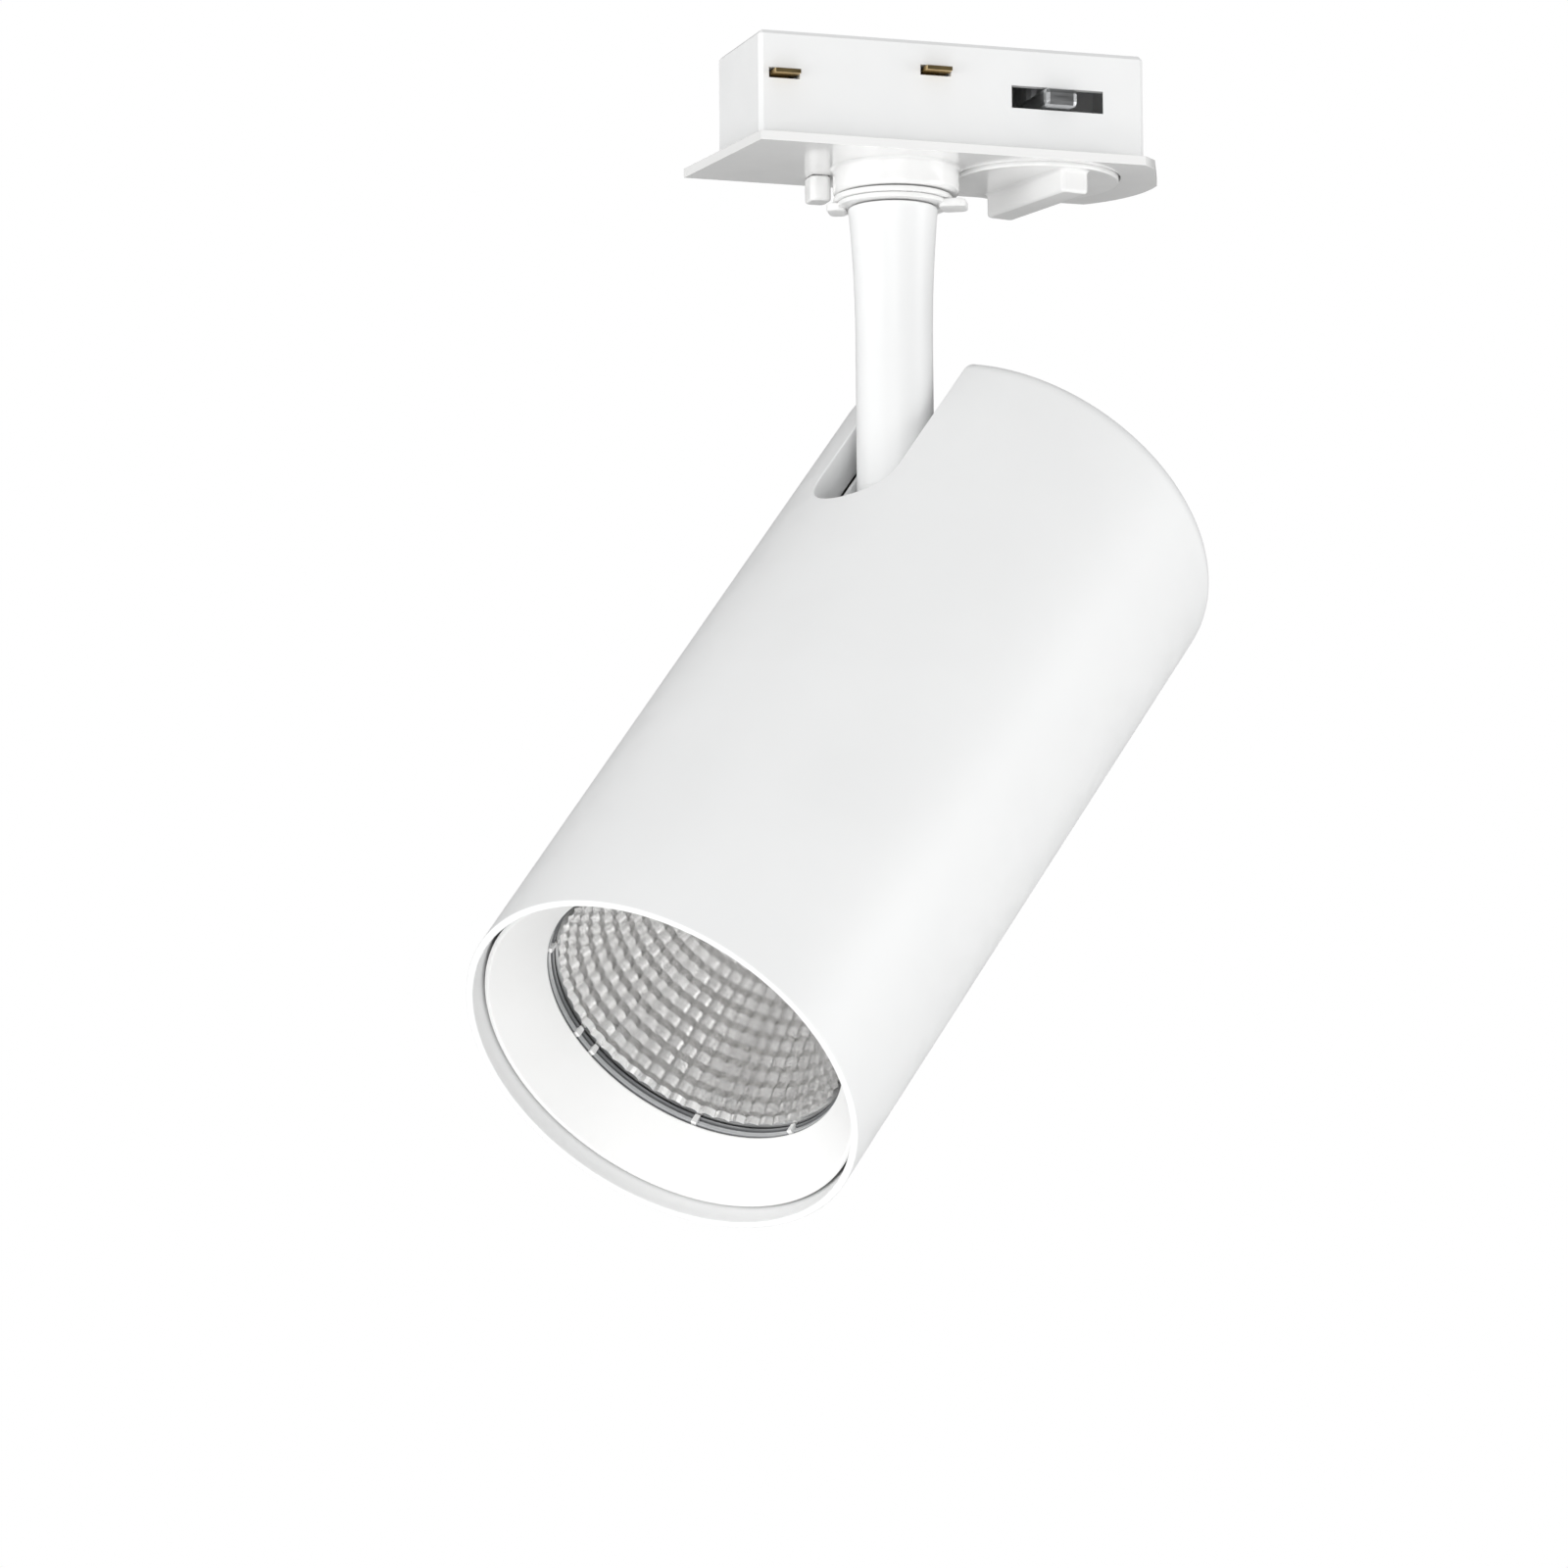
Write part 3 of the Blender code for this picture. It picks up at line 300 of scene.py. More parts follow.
def piece(name, bm, body, slot, material=None, replaced=None, sharp=35, weighted=True, bevel=0.0):
    """Makes an object from a bmesh in the row frame, and hangs it on its body."""
    mesh = bpy.data.meshes.new(name)
    bm.to_mesh(mesh)
    bm.free()
    mesh.shade_smooth()
    mesh.set_sharp_from_angle(angle=radians(sharp))
    mesh.materials.append(material or MATERIALS[slot])
    made = bpy.data.objects.new(name, mesh)
    bpy.context.scene.collection.objects.link(made)
    if bevel:
        soft = made.modifiers.new("Edges", "BEVEL")
        soft.width = bevel
        soft.segments = 3
        soft.limit_method = "ANGLE"
        soft.angle_limit = radians(32)
    if weighted:
        normals = made.modifiers.new("Normals", "WEIGHTED_NORMAL")
        normals.keep_sharp = True
        normals.weight = 60
    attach(made, body)
    if replaced:
        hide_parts(replaced)
    return made


def soften(profile, radius, steps=4, closed=True):
    """The profile with each corner rounded. A point may carry its own radius as a third number."""
    count = len(profile)
    rounded = []
    for i, point in enumerate(profile):
        here = Vector(point[:2])
        if not closed and i in (0, count - 1):
            rounded.append(here)
            continue
        size = point[2] if len(point) > 2 else radius
        before = Vector(profile[i - 1][:2]) - here
        after = Vector(profile[(i + 1) % count][:2]) - here
        bend = before.angle(after)
        reach = size / max(0.05, sin(bend / 2) / max(cos(bend / 2), 0.0001)) if bend < pi - 0.02 else 0
        reach = min(reach, before.length * 0.45, after.length * 0.45)
        if size == 0 or reach < MERGE:
            rounded.append(here)
            continue
        start = here + before.normalized() * reach
        end = here + after.normalized() * reach
        for k in range(steps + 1):
            t = k / steps
            rounded.append(start * (1 - t) ** 2 + here * 2 * t * (1 - t) + end * t * t)
    return [tuple(p) for p in rounded]


def lathe(profile, segments=160, closed=True):
    """Turns a profile of (radius, height) about Z."""
    bm = bmesh.new()
    rows = []
    for radius, height in profile:
        row = []
        for i in range(segments):
            a = 2 * pi * i / segments
            row.append(bm.verts.new((radius * cos(a), radius * sin(a), height)))
        rows.append(row)
    if closed:
        rows.append(rows[0])
    for upper, lower in zip(rows, rows[1:]):
        for i in range(segments):
            j = (i + 1) % segments
            bm.faces.new((upper[i], upper[j], lower[j], lower[i]))
    bmesh.ops.remove_doubles(bm, verts=bm.verts, dist=MERGE)
    bmesh.ops.recalc_face_normals(bm, faces=bm.faces)
    return bm


def solid(outline, low, high):
    """A flat outline drawn out along Z."""
    bm = bmesh.new()
    rings = []
    for height in (low, high):
        rings.append([bm.verts.new((x, y, height)) for x, y in outline])
        bm.faces.new(rings[-1])
    for i in range(len(outline)):
        j = (i + 1) % len(outline)
        bm.faces.new((rings[0][i], rings[0][j], rings[1][j], rings[1][i]))
    bmesh.ops.recalc_face_normals(bm, faces=bm.faces)
    return bm


def carved(bm, *cutters):
    """The shape with others taken out of it."""
    scratch = []
    for shape in (bm, *cutters):
        mesh = bpy.data.meshes.new("carving")
        shape.to_mesh(mesh)
        shape.free()
        obj = bpy.data.objects.new("carving", mesh)
        bpy.context.scene.collection.objects.link(obj)
        scratch.append(obj)
    for other in scratch[1:]:
        cut = scratch[0].modifiers.new("Cut", "BOOLEAN")
        cut.object = other
        cut.solver = "EXACT"
    graph = bpy.context.evaluated_depsgraph_get()
    result = bmesh.new()
    result.from_object(scratch[0], graph)
    for obj in scratch:
        mesh = obj.data
        bpy.data.objects.remove(obj)
        bpy.data.meshes.remove(mesh)
    return result


def inside(point, loop):
    """Whether a flat point is inside a loop."""
    odd = False
    for i, (x1, y1) in enumerate(loop):
        x2, y2 = loop[i - 1]
        if (y1 > point[1]) != (y2 > point[1]) and point[0] < (x2 - x1) * (point[1] - y1) / (y2 - y1) + x1:
            odd = not odd
    return odd


def distance(point, loop):
    """From a flat point to the nearest point of a loop."""
    return min(sqrt((point[0] - x) ** 2 + (point[1] - y) ** 2) for x, y in loop)


def spaced(low, high, count):
    """Count even steps from low, without high."""
    return [low + (high - low) * i / count for i in range(count)]


def arc(centre, radius, start, end, steps):
    angles = [*spaced(start, end, steps), end]
    return [(centre[0] + radius * cos(a), centre[1] + radius * sin(a)) for a in angles]


def circle(centre, radius, count):
    return [(centre[0] + radius * cos(a), centre[1] + radius * sin(a)) for a in spaced(0, 2 * pi, count)]


def block(low, high, radius=0.0, steps=4, upright=None, flare=0.0):
    """A box with rounded edges. Its upright edges can be rounder, and its top can flare to a foot."""
    if not radius:
        corners = [(high[0], high[1]), (low[0], high[1]), (low[0], low[1]), (high[0], low[1])]
        return solid(corners, low[2], high[2])
    big = radius if upright is None else upright
    corners = []
    for turn in range(4):
        start = turn * pi / 2
        x = high[0] - big if turn in (0, 3) else low[0] + big
        y = high[1] - big if turn in (0, 1) else low[1] + big
        corners.append((x, y, start))
    rings = []
    for k in range(steps + 1):
        a = pi / 2 * k / steps
        rings.append((-radius * (1 - sin(a)), low[2] + radius * (1 - cos(a))))
    if flare:
        for k in range(steps + 1):
            a = pi / 2 * k / steps
            rings.append((flare * (1 - cos(a)), high[2] - flare * (1 - sin(a))))
    else:
        rings += [(grow, low[2] + high[2] - height) for grow, height in rings[::-1]]
    rows = []
    for grow, height in rings:
        row = []
        for x, y, start in corners:
            row += [(px, py, height) for px, py in arc((x, y), big + grow, start, start + pi / 2, steps)]
        rows.append(row)
    middle = ((low[0] + high[0]) / 2, (low[1] + high[1]) / 2)
    under, over = ([(*middle, rings[end][1])] * len(rows[0]) for end in (0, -1))
    bm = bmesh.new()
    bridge(bm, [under, *rows, over])
    bmesh.ops.remove_doubles(bm, verts=bm.verts, dist=MERGE)
    bmesh.ops.recalc_face_normals(bm, faces=bm.faces)
    return bm


def joined(*parts):
    """Several bmeshes as one."""
    mesh = bpy.data.meshes.new("joining")
    whole = bmesh.new()
    for bm in parts:
        bm.to_mesh(mesh)
        bm.free()
        whole.from_mesh(mesh)
    bpy.data.meshes.remove(mesh)
    return whole


def moved(bm, matrix):
    bmesh.ops.transform(bm, matrix=matrix, verts=bm.verts)
    return bm


# --- Adapter ---

COVER_BOTTOM = -1.8 * MM
COVER_HALF = 18 * MM
COVER_END = 24.5 * MM
LEVER_X = 29.2 * MM
LATCH_X = -11.7 * MM
LEVER_ANGLE = radians(102.5)
DISC_RADIUS = 16 * MM
DISC_GAP = 0.4 * MM
DISC_BOTTOM = COVER_BOTTOM - 0.8 * MM
SEAT = -0.4 * MM
BOSS_X = 0.65 * MM
BOSS_RADIUS = 12.1 * MM
BOSS_BOTTOM = -6.9 * MM
SWIVEL_BORE = 5.4 * MM
OVERLAP = 0.02 * MM
THROUGH = 5 * MM


def make_cover():
    reach = asin(COVER_HALF / COVER_END)
    outline = [(-32.6 * MM, -COVER_HALF), (45 * MM, -COVER_HALF), (48 * MM, -15.2 * MM)]
    outline += arc((LEVER_X, 0), COVER_END, radians(-3.5), reach, 40)
    outline.append((-36.2 * MM, COVER_HALF))
    plate = solid(outline, COVER_BOTTOM, 0)
    seat = block((-31.3 * MM, -12.8 * MM, SEAT), (47.3 * MM, 12.8 * MM, THROUGH))
    disc_hole = solid(circle((LEVER_X, 0), DISC_RADIUS + DISC_GAP, 128), -THROUGH, THROUGH)
    bore = solid(circle((0, 0), SWIVEL_BORE, 48), -THROUGH, THROUGH)
    slot = block((LATCH_X - 1.7 * MM, 7.9 * MM, -THROUGH), (LATCH_X + 1.8 * MM, 10.8 * MM, THROUGH))
    plate = carved(plate, seat, disc_hole, bore, slot)
    piece("cover_plate", plate, "adapter", "adapter_cover", replaced="adapter_cover", bevel=0.32 * MM)
    foot = 0.7 * MM
    edge = 0.9 * MM
    profile = [(SWIVEL_BORE, COVER_BOTTOM + OVERLAP), (BOSS_RADIUS + foot, COVER_BOTTOM + OVERLAP)]
    profile += arc((BOSS_RADIUS + foot, COVER_BOTTOM - foot), foot, pi / 2, pi, 6)
    profile += arc((BOSS_RADIUS - edge, BOSS_BOTTOM + edge), edge, 0, -pi / 2, 7)
    profile.append((SWIVEL_BORE, BOSS_BOTTOM))
    boss = moved(lathe(profile, 180), Matrix.Translation((BOSS_X, 0, 0)))
    piece("cover_boss", boss, "adapter", "adapter_cover")


def make_lever():
    corners = [(0, DISC_BOTTOM), (DISC_RADIUS, DISC_BOTTOM), (DISC_RADIUS, SEAT), (0, SEAT)]
    profile = soften(corners, 0.35 * MM, 5, closed=False)
    disc = moved(lathe(profile, 192, closed=False), Matrix.Translation((LEVER_X, 0, 0)))
    piece("lever_plate", disc, "lever", "lever_disc", replaced="lever_disc")
    low = (-14.3 * MM, -3 * MM, DISC_BOTTOM - 4.5 * MM)
    high = (13.3 * MM, 3 * MM, DISC_BOTTOM + OVERLAP)
    grip = block(low, high, 0.7 * MM, 6, upright=1.1 * MM, flare=0.8 * MM)
    moved(grip, Matrix.Translation((LEVER_X, 0, 0)) @ Matrix.Rotation(LEVER_ANGLE, 4, "Z"))
    piece("lever_grip", grip, "lever", "lever_disc")


def make_latch():
    """Blocks in mm from LATCH_X: low corner, high corner, edge radius, upright edge radius and steps."""
    peg = ((-2.1, 7.5, -6.8), (2.1, 12.6, -1.88), 0.55, 1.3, 6)
    neck = ((0.1, 8.2, -2.6), (1.5, 10.5, 0.6), 0.1, 0.3, 3)
    slide = ((-6.6, 3, 0.15), (2.8, 10.6, 1.7), 0.3, 0.3, 3)
    stop = ((-6.6, 8.2, 1), (-5.4, 10.6, 4.2), 0.3, 0.3, 3)
    post = ((-3.6, 9.2, 1.2), (-1.6, 10.6, 17), 0.25, 0.25, 3)
    catch = ((-3.6, 9.3, 15.2), (-1.6, 14.2, 17), 0.3, 0.3, 3)
    shapes = []
    for low, high, edge, upright, steps in (peg, neck, slide, stop, post, catch):
        shapes.append(block(low, high, edge, steps, upright))
    latch = moved(joined(*shapes), Matrix.Translation((LATCH_X, 0, 0)) @ Matrix.Scale(MM, 4))
    piece("latch_peg", latch, "latch", "latch_slider", replaced="latch_slider")


def make_spring():
    """The latch's coil, wound along the length of the CAD spring's box."""
    low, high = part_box("latch_spring")
    length = high[0] - low[0]
    wire = 0.2 * MM
    coil_radius = 1.25 * MM
    per_turn = 30
    count = 6 * per_turn
    sides = 10
    rings = []
    for i in range(count + 1):
        turn = 2 * pi * i / per_turn
        outward = Vector((0, cos(turn), sin(turn)))
        x = low[0] + wire + (length - 2 * wire) * i / count
        centre = Vector((x, (low[1] + high[1]) / 2, (low[2] + high[2]) / 2)) + outward * coil_radius
        angles = spaced(0, 2 * pi, sides)
        rings.append([centre + outward * wire * cos(a) + Vector((wire * sin(a), 0, 0)) for a in angles])
    bm = bmesh.new()
    bridge(bm, rings)
    bm.verts.ensure_lookup_table()
    bm.faces.new(bm.verts[:sides])
    bm.faces.new(bm.verts[-sides:])
    bmesh.ops.recalc_face_normals(bm, faces=bm.faces)
    coil = piece("spring_coil", bm, "adapter", "latch_spring", replaced="latch_spring", weighted=False)
    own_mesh(coil)


# --- Stem ---

STEM_RADIUS = 7.4 * MM
STEM_FLARE = 1.2 * MM
STEM_FLARE_LENGTH = 26 * MM
STEM_TOP = -9.5 * MM
STEM_BOTTOM = PIVOT_Z + 7.8 * MM
STEM_BORE = 5.3 * MM
SWIVEL_TOP = BOSS_BOTTOM - 0.3 * MM
LUG_TOP = -8.3 * MM
LUG_ANGLE = radians(-58)
LUG_REACHES = (14.3 * MM, 12.6 * MM)
LUG_HALF = 3.2 * MM
LUG_HEIGHT = 1.6 * MM


def make_rings():
    radius = 11.4 * MM
    low = LUG_TOP + 0.06 * MM
    corners = [(radius, SWIVEL_TOP), (radius, low), (STEM_BORE, low), (STEM_BORE, SWIVEL_TOP)]
    collar = lathe(soften(corners, 0.3 * MM, 5), 180)
    piece("swivel_collar", moved(collar, STEM), "stem", "swivel_ring", replaced="swivel_ring")
    radius = 10.7 * MM
    low = LUG_TOP - 0.9 * MM
    corners = [(radius, LUG_TOP), (radius, low), (STEM_BORE, low), (STEM_BORE, LUG_TOP)]
    shapes = [lathe(soften(corners, 0.25 * MM, 5), 180)]
    for side, reach in enumerate(LUG_REACHES):
        low = (9 * MM, -LUG_HALF, LUG_TOP - LUG_HEIGHT)
        lug = block(low, (reach, LUG_HALF, LUG_TOP), 0.45 * MM, 5, upright=1.5 * MM)
        shapes.append(moved(lug, Matrix.Rotation(LUG_ANGLE + side * pi, 4, "Z")))
    piece("lug_collar", moved(joined(*shapes), STEM), "stem", "lug_ring", replaced="lug_ring")


def make_stem():
    steps = 28
    edge = 0.3 * MM
    top = STEM_RADIUS + STEM_FLARE
    profile = [(STEM_BORE, STEM_TOP), *arc((top - edge, STEM_TOP - edge), edge, pi / 2, 0, 5)]
    for i in range(1, steps + 1):
        left = 1 - i / steps
        profile.append((STEM_RADIUS + STEM_FLARE * left * left, STEM_TOP - STEM_FLARE_LENGTH * i / steps))
    plain = STEM_TOP - STEM_FLARE_LENGTH
    profile += [(STEM_RADIUS, plain + (STEM_BOTTOM - plain) * i / 12) for i in range(1, 13)]
    profile.append((STEM_BORE, STEM_BOTTOM))
    piece("stem_sleeve", moved(lathe(profile, 192), STEM), "stem", "stem_tube", replaced="stem_tube")


def make_knuckle():
    """The stem's full width carried on to the pivot, with two flats and a round end about the pin."""
    flat = 7 * MM
    top = STEM_BOTTOM - PIVOT_Z - OVERLAP
    around = 144
    rings = [(0, True), (STEM_RADIUS, True)]
    rings += [(STEM_RADIUS * cos(pi / 2 * i / 24), False) for i in range(25)]
    rows = []
    for radius, upper in rings:
        row = []
        for i in range(around):
            a = 2 * pi * i / around
            x = radius * cos(a)
            y = max(-flat, min(flat, radius * sin(a)))
            row.append((x, y, top if upper else -sqrt(max(0, STEM_RADIUS**2 - x * x))))
        rows.append(row)
    eye = bmesh.new()
    bridge(eye, rows)
    bmesh.ops.remove_doubles(eye, verts=eye.verts, dist=MERGE)
    bmesh.ops.recalc_face_normals(eye, faces=eye.faces)
    bore = solid(circle((0, 0), 2.9 * MM, 48), -12 * MM, 12 * MM)
    eye = carved(eye, moved(bore, Matrix.Rotation(pi / 2, 4, "X")))
    moved(eye, STEM @ Matrix.Translation((0, 0, PIVOT_Z)))
    piece("stem_eye", eye, "stem", "stem_knuckle", replaced="stem_knuckle")


# --- Head ---

SLOT_HALF = 9.5 * MM
SLOT_CENTRE = HEAD_BACK - 33.7 * MM
SLOT_END = 15.2 * MM
COLLAR_WALL = 1.7 * MM
COLLAR_X = -8.5 * MM
SLOT_EDGE = 0.45 * MM
AROUND = 216
SLIVER = 1e-13


class Shell:
    """The outer or inner face of the housing: a side, a fillet and a flat back, run along by a length."""

    def __init__(self, radius, fillet, back, front):
        self.radius = radius
        self.fillet = fillet
        self.back = back
        self.front = front
        self.side = back - fillet - front
        self.bend = self.side + fillet * pi / 2
        self.length = self.bend + radius - fillet

    def at(self, s):
        """(radius, height, outward part and upward part of the normal) at a length from the front."""
        if s <= self.side:
            return self.radius, self.front + s, 1, 0
        if s <= self.bend:
            a = (s - self.side) / self.fillet
            inwards = self.fillet * (1 - cos(a))
            under = self.fillet * (1 - sin(a))
            return self.radius - inwards, self.back - under, cos(a), sin(a)
        return self.radius - self.fillet - (s - self.bend), self.back, 0, 1

    def length_at_radius(self, r):
        return self.length - r

    def point(self, theta, s):
        """A point and its normal. Theta is 0 at the slot."""
        r, h, out, up = self.at(s)
        x = -cos(theta)
        y = sin(theta)
        return Vector((r * x, r * y, h)), Vector((out * x, out * y, up))

    def slot(self, half, end):
        """The slot's outline as (theta, length), from its flat end on the back, round and back again."""
        flat = 14
        bend = 12
        straight = 36
        turn = 48
        corner_r = sqrt(end * end + half * half)
        corner_s = self.length_at_radius(corner_r)
        points = []
        for i in range(flat):
            y = half * (2 * i / flat - 1)
            points.append((atan2(y, end), self.length_at_radius(sqrt(end * end + y * y))))
        bottom = SLOT_CENTRE - self.front
        marks = spaced(corner_s, self.bend, bend) + spaced(self.bend, self.side, bend)
        marks += spaced(self.side, bottom, straight)
        for s in marks:
            points.append((asin(half / self.at(s)[0]), s))
        for i in range(turn):
            a = pi * i / turn
            points.append((asin(half * cos(a) / self.radius), bottom - half * sin(a)))
        for s in marks[::-1]:
            points.append((-asin(half / self.at(s)[0]), s))
        return points


def face_grid(bm, shell, rows, hole, normals, facing):
    """Covers a shell's face, except its slot, with triangles that meet the slot's outline."""
    scale = shell.radius
    loop = [(theta * scale, s) for theta, s in hole]
    flat = [Vector(p) for p in loop]
    edges = [(i, (i + 1) % len(loop)) for i in range(len(loop))]
    clear = 0.7 * MM
    top = max(p[1] for p in loop) + clear
    bottom = SLOT_CENTRE - shell.front - 2 * SLOT_HALF
    for s in rows:
        for i in range(AROUND + 1):
            theta = -pi + 2 * pi * i / AROUND
            p = (theta * scale, s)
            if abs(theta) < 1.2 and bottom < s <= top:
                if inside(p, loop) or distance(p, loop) < clear:
                    continue
            flat.append(Vector(p))
    made = delaunay_2d_cdt(flat, edges, [], 0, 0.0000001)
    verts = []
    for p in made[0]:
        where, normal = shell.point(p.x / scale, p.y)
        vert = bm.verts.new(where)
        normals[key(where)] = normal * facing
        verts.append(vert)
    for face in made[2]:
        middle = sum((made[0][i] for i in face), Vector((0, 0))) / 3
        if not inside(middle, loop):
            bm.faces.new([verts[i] for i in face])


def key(p):
    """A point's place to the micrometre."""
    return (round(p.x * 1e6), round(p.y * 1e6), round(p.z * 1e6))


def make_housing():
    edge = 0.35 * MM
    outer = Shell(HEAD_RADIUS, 4.5 * MM, HEAD_BACK, HEAD_FRONT + edge)
    inner = Shell(HEAD_BORE, 3 * MM, HEAD_BACK - 2 * MM, HEAD_FRONT + edge)
    bm = bmesh.new()
    normals = {}
    limit = COLLAR_X - HEAD_OFFSET
    wide = outer.slot(SLOT_HALF + SLOT_EDGE, SLOT_END - SLOT_EDGE)
    sharp = outer.slot(SLOT_HALF, SLOT_END)
    collar = inner.slot(SLOT_HALF + COLLAR_WALL, SLOT_END - COLLAR_WALL)
    for shell, hole, facing in ((outer, wide, 1), (inner, collar, -1)):
        inmost = shell.length - 1 * MM
        rows = spaced(0, shell.side, 44) + spaced(shell.side, shell.bend, 10)
        rows += spaced(shell.bend, inmost, 14) + [inmost, shell.length - MERGE]
        face_grid(bm, shell, rows, hole, normals, facing)
    steps = 6
    rings = [[] for _ in range(steps + 4)]
    inner_top = HEAD_BACK - 2 * MM
    for (t0, s0), (t1, s1), (t2, s2) in zip(wide, sharp, collar):
        start, _ = outer.point(t0, s0)
        corner, normal = outer.point(t1, s1)
        across = Vector((0, 1, 0))
        down = -(normal - across * normal.dot(across)).normalized()
        away = start - corner
        away = (away - down * away.dot(down)).normalized()
        end = corner + down * SLOT_EDGE
        for k in range(steps + 1):
            t = k / steps
            p = start * (1 - t) ** 2 + corner * 2 * t * (1 - t) + end * t * t
            rings[k].append(p)
            normals[key(p)] = (normal * (1 - t) - away * t).normalized()
        if corner.x < limit:
            deep = Vector((limit, corner.y, min(corner.z, inner_top)))
        else:
            deep = Vector((corner.x, corner.y, inner_top))
        rings[steps + 1].append(deep)
        hole, _ = inner.point(t2, s2)
        if hole.x < limit:
            rings[steps + 2].append(Vector((limit, hole.y, min(hole.z, inner_top))))
        else:
            rings[steps + 2].append(Vector(hole))
        rings[steps + 3].append(hole)
    bridge(bm, rings)
    lip = [(HEAD_RADIUS, HEAD_FRONT + edge)]
    lip += arc((HEAD_RADIUS - edge, HEAD_FRONT + edge), edge, 0, -pi / 2, 5)[1:]
    lip += arc((HEAD_BORE + edge, HEAD_FRONT + edge), edge, -pi / 2, -pi, 5)
    rim = []
    for radius, height in lip:
        rim.append([Vector((-radius * cos(a), radius * sin(a), height)) for a in spaced(-pi, pi, AROUND)])
    bridge(bm, rim)
    bmesh.ops.remove_doubles(bm, verts=bm.verts, dist=2 * MERGE)
    bmesh.ops.recalc_face_normals(bm, faces=bm.faces)
    slivers = [f for f in bm.faces if f.calc_area() < SLIVER]
    bmesh.ops.delete(bm, geom=slivers, context="FACES_ONLY")
    turned = HEAD.to_3x3()
    chosen = []
    for v in bm.verts:
        found = normals.get(key(v.co))
        chosen.append(turned @ found if found else Vector((0, 0, 0)))
    moved(bm, HEAD)
    made = piece("housing_shell", bm, "head", "head_housing", replaced="head_housing", weighted=False)
    made.data.normals_split_custom_set_from_vertices(chosen)
    return made


def bridge(bm, rings):
    """Joins closed rows of points with quads."""
    rows = [[bm.verts.new(p) for p in ring] for ring in rings]
    count = len(rows[0])
    for one, two in zip(rows, rows[1:]):
        for i in range(count):
            j = (i + 1) % count
            bm.faces.new((one[i], one[j], two[j], two[i]))


BAFFLE_OUTER = 37.9 * MM
BAFFLE_LIP = 37.0 * MM
BAFFLE_FRONT = HEAD_FRONT + 3.6 * MM
BAFFLE_BACK = HEAD_FRONT + 14.1 * MM
BAFFLE_MOUTH = 30.3 * MM
BAFFLE_INNER = 36.7 * MM


def make_baffle():
    thin = 0.3 * MM
    skirt = BAFFLE_BACK + 3 * MM
    cone = [(BAFFLE_OUTER, skirt, 0), (BAFFLE_OUTER, BAFFLE_FRONT, 0.35 * MM)]
    cone += [(BAFFLE_LIP, BAFFLE_FRONT, 0.5 * MM), (BAFFLE_MOUTH, BAFFLE_BACK, 0.12 * MM)]
    cone += [(BAFFLE_MOUTH, BAFFLE_BACK + thin, 0.1 * MM), (BAFFLE_INNER, BAFFLE_FRONT + 2.4 * MM, 0)]
    cone.append((BAFFLE_INNER, skirt, 0))
    baffle = moved(lathe(soften(cone, 0, 5), AROUND), HEAD)
    piece("baffle_cone", baffle, "head", "anti_glare_baffle", replaced="anti_glare_baffle")


FLANGE = HEAD_FRONT + 16.8 * MM
FLANGE_RADIUS = 32.1 * MM
RING_LIP = 30 * MM
TAB_ANGLES = (-8, 33, 78, 87, 128, 170, 215, 260, 305)


def make_ring():
    """A dark wall with a thin lip at the reflector, light tabs across it and a light hoop at its front."""
    low = BAFFLE_BACK + 0.6 * MM
    high = FLANGE - 0.2 * MM
    lip = high - 0.5 * MM
    inner = BAFFLE_MOUTH + 0.25 * MM
    profile = [(FLANGE_RADIUS, high), (FLANGE_RADIUS, low), (inner, low), (inner, lip), (RING_LIP, lip)]
    profile.append((RING_LIP, high))
    ring = lathe(soften(profile, 0.12 * MM, 3), AROUND)
    piece("gap_ring", moved(ring, HEAD), "head", "reflector_ring", replaced="reflector_ring")
    tabs = []
    for degrees in TAB_ANGLES:
        tab = block((29.6 * MM, -0.55 * MM, low - 0.1 * MM), (31 * MM, 0.55 * MM, high), 0.12 * MM, 2)
        tabs.append(moved(tab, Matrix.Rotation(radians(degrees), 4, "Z")))
    piece("ring_tabs", moved(joined(*tabs), HEAD), "head", "reflector_ring", MATERIALS["anti_glare_baffle"])
    near = low + 0.2 * MM
    far = low + 1.1 * MM
    corners = [(30.7 * MM, far), (30.7 * MM, near), (30.25 * MM, near), (30.25 * MM, far)]
    hoop = lathe(soften(corners, 0.15 * MM, 3), AROUND)
    piece("ring_hoop", moved(hoop, HEAD), "head", "reflector_ring", HOOP_MATERIAL)


FACET_COLUMNS = 58
FACET_START = 0.35
FACET_STEP = 3.45 * MM
FIRST_STEP = 2.6 * MM
LAST_STEP = 1.5 * MM
FLUTE_DEPTH = 0.0175
ROW_DEPTH = 0.33 * MM
REFLECTOR_TOP = -46.4 * MM
MOUTH = 29.4 * MM
THROAT = 10 * MM


def bowl(height):
    """The reflector's radius at a height: a parabola from its throat to its mouth."""
    share = (REFLECTOR_TOP - height) / (REFLECTOR_TOP - FLANGE)
    return sqrt(THROAT**2 + (MOUTH**2 - THROAT**2) * share)


def crown(t):
    """A bulge of 1 halfway along a 0 to 1 span, and 0 at its ends."""
    return 4 * t * (1 - t)


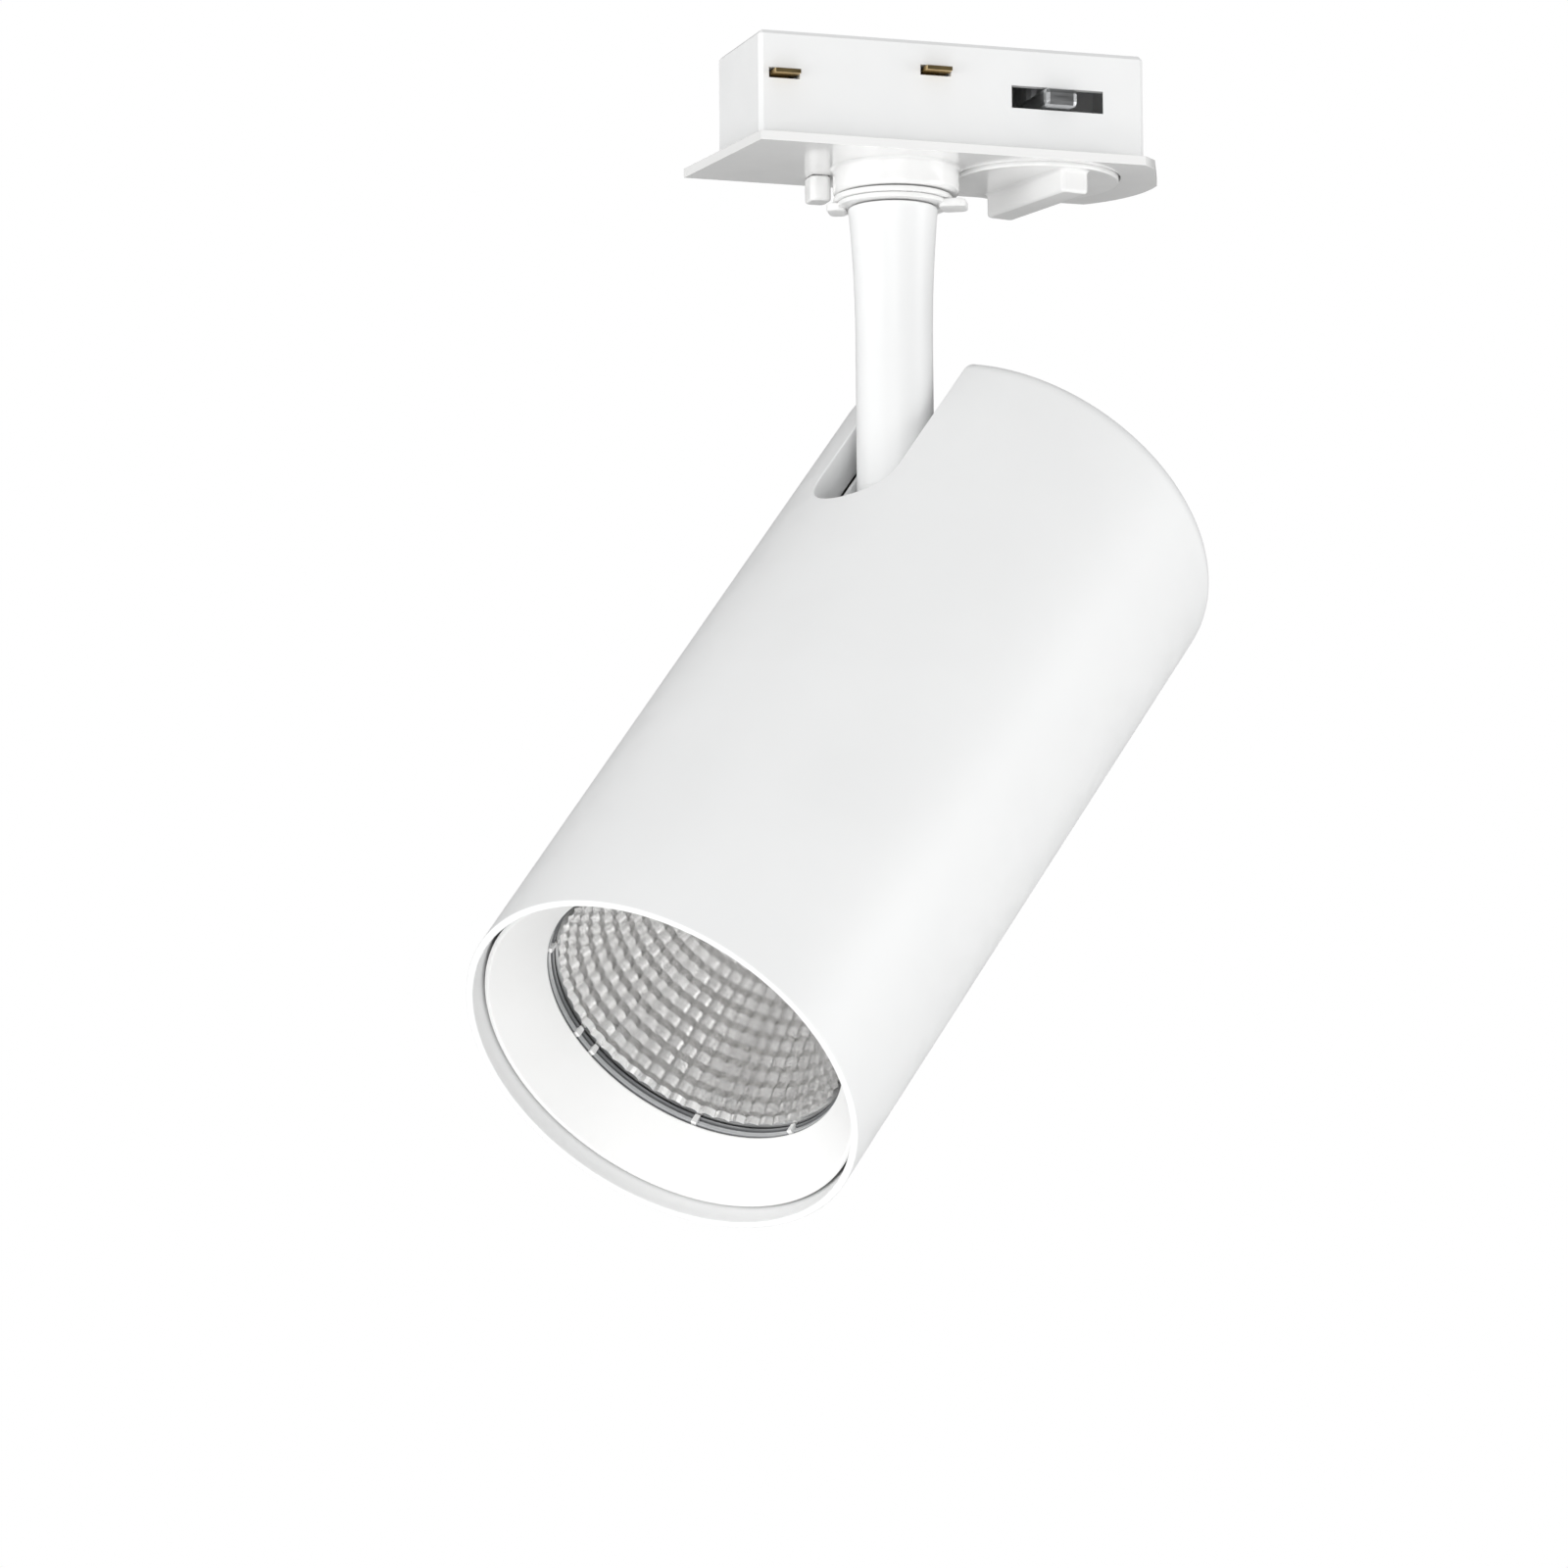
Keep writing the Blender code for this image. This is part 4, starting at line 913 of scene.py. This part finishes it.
def make_reflector():
    """Flutes crossed by rows, each cell cut into flat faces. FLUTE_DEPTH is a share of the radius."""
    across = 4
    along = 2
    heights = [FLANGE]
    next_row = FLANGE + FIRST_STEP
    while next_row < REFLECTOR_TOP - LAST_STEP:
        heights.append(next_row)
        next_row += FACET_STEP
    heights.append(REFLECTOR_TOP)
    bm = bmesh.new()
    pitch = 2 * pi / FACET_COLUMNS
    for row in range(len(heights) - 1):
        for column in range(FACET_COLUMNS):
            grid = []
            for i in range(along + 1):
                v = i / along
                height = heights[row] + (heights[row + 1] - heights[row]) * v
                line = []
                for j in range(across + 1):
                    u = j / across
                    angle = pitch * (column + u + FACET_START)
                    radius = bowl(height) * (1 - FLUTE_DEPTH * crown(u)) - ROW_DEPTH * crown(v)
                    line.append(bm.verts.new((radius * cos(angle), radius * sin(angle), height)))
                grid.append(line)
            for i in range(along):
                for j in range(across):
                    bm.faces.new((grid[i][j], grid[i + 1][j], grid[i + 1][j + 1], grid[i][j + 1]))
    bmesh.ops.remove_doubles(bm, verts=bm.verts, dist=MERGE)
    wall = 0.8 * MM
    back = []
    for i in range(25):
        height = REFLECTOR_TOP + (FLANGE - REFLECTOR_TOP) * i / 24
        back.append((bowl(height) + wall, height))
    back[-1] = (back[-1][0], FLANGE + wall)
    back += [(FLANGE_RADIUS, FLANGE + wall), (FLANGE_RADIUS, FLANGE)]
    edge = FACET_COLUMNS * across
    rows = []
    inner_top = (bowl(REFLECTOR_TOP), REFLECTOR_TOP)
    inner_low = (MOUTH, FLANGE)
    for radius, height in (inner_top, *back, inner_low):
        row = []
        for i in range(edge):
            angle = pitch * (i / across + FACET_START)
            r = radius
            if (radius, height) in (inner_top, inner_low):
                r = radius * (1 - FLUTE_DEPTH * crown(i % across / across))
            row.append(Vector((r * cos(angle), r * sin(angle), height)))
        rows.append(row)
    bridge(bm, rows)
    bmesh.ops.remove_doubles(bm, verts=bm.verts, dist=MERGE)
    bmesh.ops.recalc_face_normals(bm, faces=bm.faces)
    moved(bm, HEAD)
    piece("faceted_bowl", bm, "head", "reflector", replaced="reflector", sharp=4, weighted=False)


def make_head():
    make_housing()
    make_baffle()
    make_ring()
    make_reflector()


# A CAD node that no piece stands for keeps its mesh, and every node gets its own material
for node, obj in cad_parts.items():
    obj.data.materials.clear()
    obj.data.materials.append(MATERIALS[node])

make_cover()
make_lever()
make_latch()
make_spring()
make_rings()
make_stem()
make_knuckle()
make_head()


# --- Camera, light and floor ---

CAMERA_AT = (-0.56297, -1.58327, -0.3815)
CAMERA_TURN = Euler((radians(98.825), radians(0.438), radians(-18.766))).to_matrix()
RIGHT, UP, BACK = CAMERA_TURN.transposed()


def make_camera():
    data = bpy.data.cameras.new("camera")
    data.lens = 205.99
    data.sensor_width = 36
    data.clip_start = 0.05
    data.clip_end = 100
    camera = bpy.data.objects.new("camera", data)
    camera.matrix_world = Matrix.Translation(CAMERA_AT) @ CAMERA_TURN.to_4x4()
    bpy.context.scene.collection.objects.link(camera)
    bpy.context.scene.camera = camera


AMBIENT = 0.55
REFLECTED = 0.06
LIGHT_DISTANCE = 1.3
LIGHT_SIZE = 0.7
PART_MIDDLE = Vector((-0.015, -0.01, -0.1))
LIGHTS = (
    ("front", (0, 0.15, 1), 4.2),
    ("front_left", (-1, 0, 1), 5),
    ("front_below", (0, -1, 1), 1.8),
    ("right", (1, 0, 0.15), 5.6),
    ("left", (-1, 0, 0.15), 2.3),
    ("above", (0, 1, 0.1), 1.2),
    ("below", (0, -1, 0.1), 2.6),
    ("right_below", (1, -1, 0), 3.2),
    ("left_below", (-1, -1, 0.5), 3),
)


def area_light(name, towards, power):
    """A soft square light in a direction from the part's middle, facing it."""
    data = bpy.data.lights.new(name, "AREA")
    data.shape = "SQUARE"
    data.size = LIGHT_SIZE
    data.energy = power
    light = bpy.data.objects.new(name, data)
    direction = towards.normalized()
    light.location = PART_MIDDLE + direction * LIGHT_DISTANCE
    light.rotation_mode = "QUATERNION"
    light.rotation_quaternion = direction.to_track_quat("Z", "Y")
    light.visible_camera = False
    bpy.context.scene.collection.objects.link(light)


def make_world():
    """White behind the part. Round it a soft grey light, and for reflections a darker room."""
    world = bpy.data.worlds.new("studio")
    bpy.context.scene.world = world
    world.use_nodes = True
    tree = world.node_tree
    background = tree.nodes["Background"]
    path = tree.nodes.new("ShaderNodeLightPath")
    shade_of = tree.nodes.new("ShaderNodeMix")
    shade_of.inputs["A"].default_value = AMBIENT
    shade_of.inputs["B"].default_value = REFLECTED
    tree.links.new(path.outputs["Is Glossy Ray"], shade_of.inputs["Factor"])
    seen = tree.nodes.new("ShaderNodeMix")
    seen.inputs["B"].default_value = 1
    tree.links.new(path.outputs["Is Camera Ray"], seen.inputs["Factor"])
    tree.links.new(shade_of.outputs["Result"], seen.inputs["A"])
    background.inputs["Color"].default_value = (1, 1, 1, 1)
    tree.links.new(seen.outputs["Result"], background.inputs["Strength"])
    bpy.context.scene.view_settings.view_transform = "Standard"


def make_lights():
    """Soft lights, by their directions right, up and towards the camera from the part."""
    for name, (right, up, near), power in LIGHTS:
        area_light(name, RIGHT * right + UP * up + BACK * near, power)


def make_floor():
    """A wide pale floor far below, which the reflector doesn't mirror."""
    mesh = bpy.data.meshes.new("floor")
    bm = bmesh.new()
    bmesh.ops.create_grid(bm, x_segments=24, y_segments=24, size=60)
    bm.to_mesh(mesh)
    bm.free()
    nodes = Nodes("floor_paint")
    tone = nodes.ranged(nodes.noise(3, 3), 0, 1)
    nodes.link(nodes.mix(tone, (0.92, 0.92, 0.915), (0.95, 0.95, 0.945)), nodes.shader.inputs["Base Color"])
    nodes.shader.inputs["Roughness"].default_value = 0.8
    mesh.materials.append(nodes.material)
    floor = bpy.data.objects.new("floor", mesh)
    floor.location = (0, 0, -2.4)
    floor.visible_glossy = False
    bpy.context.scene.collection.objects.link(floor)


make_camera()
make_world()
make_lights()
make_floor()
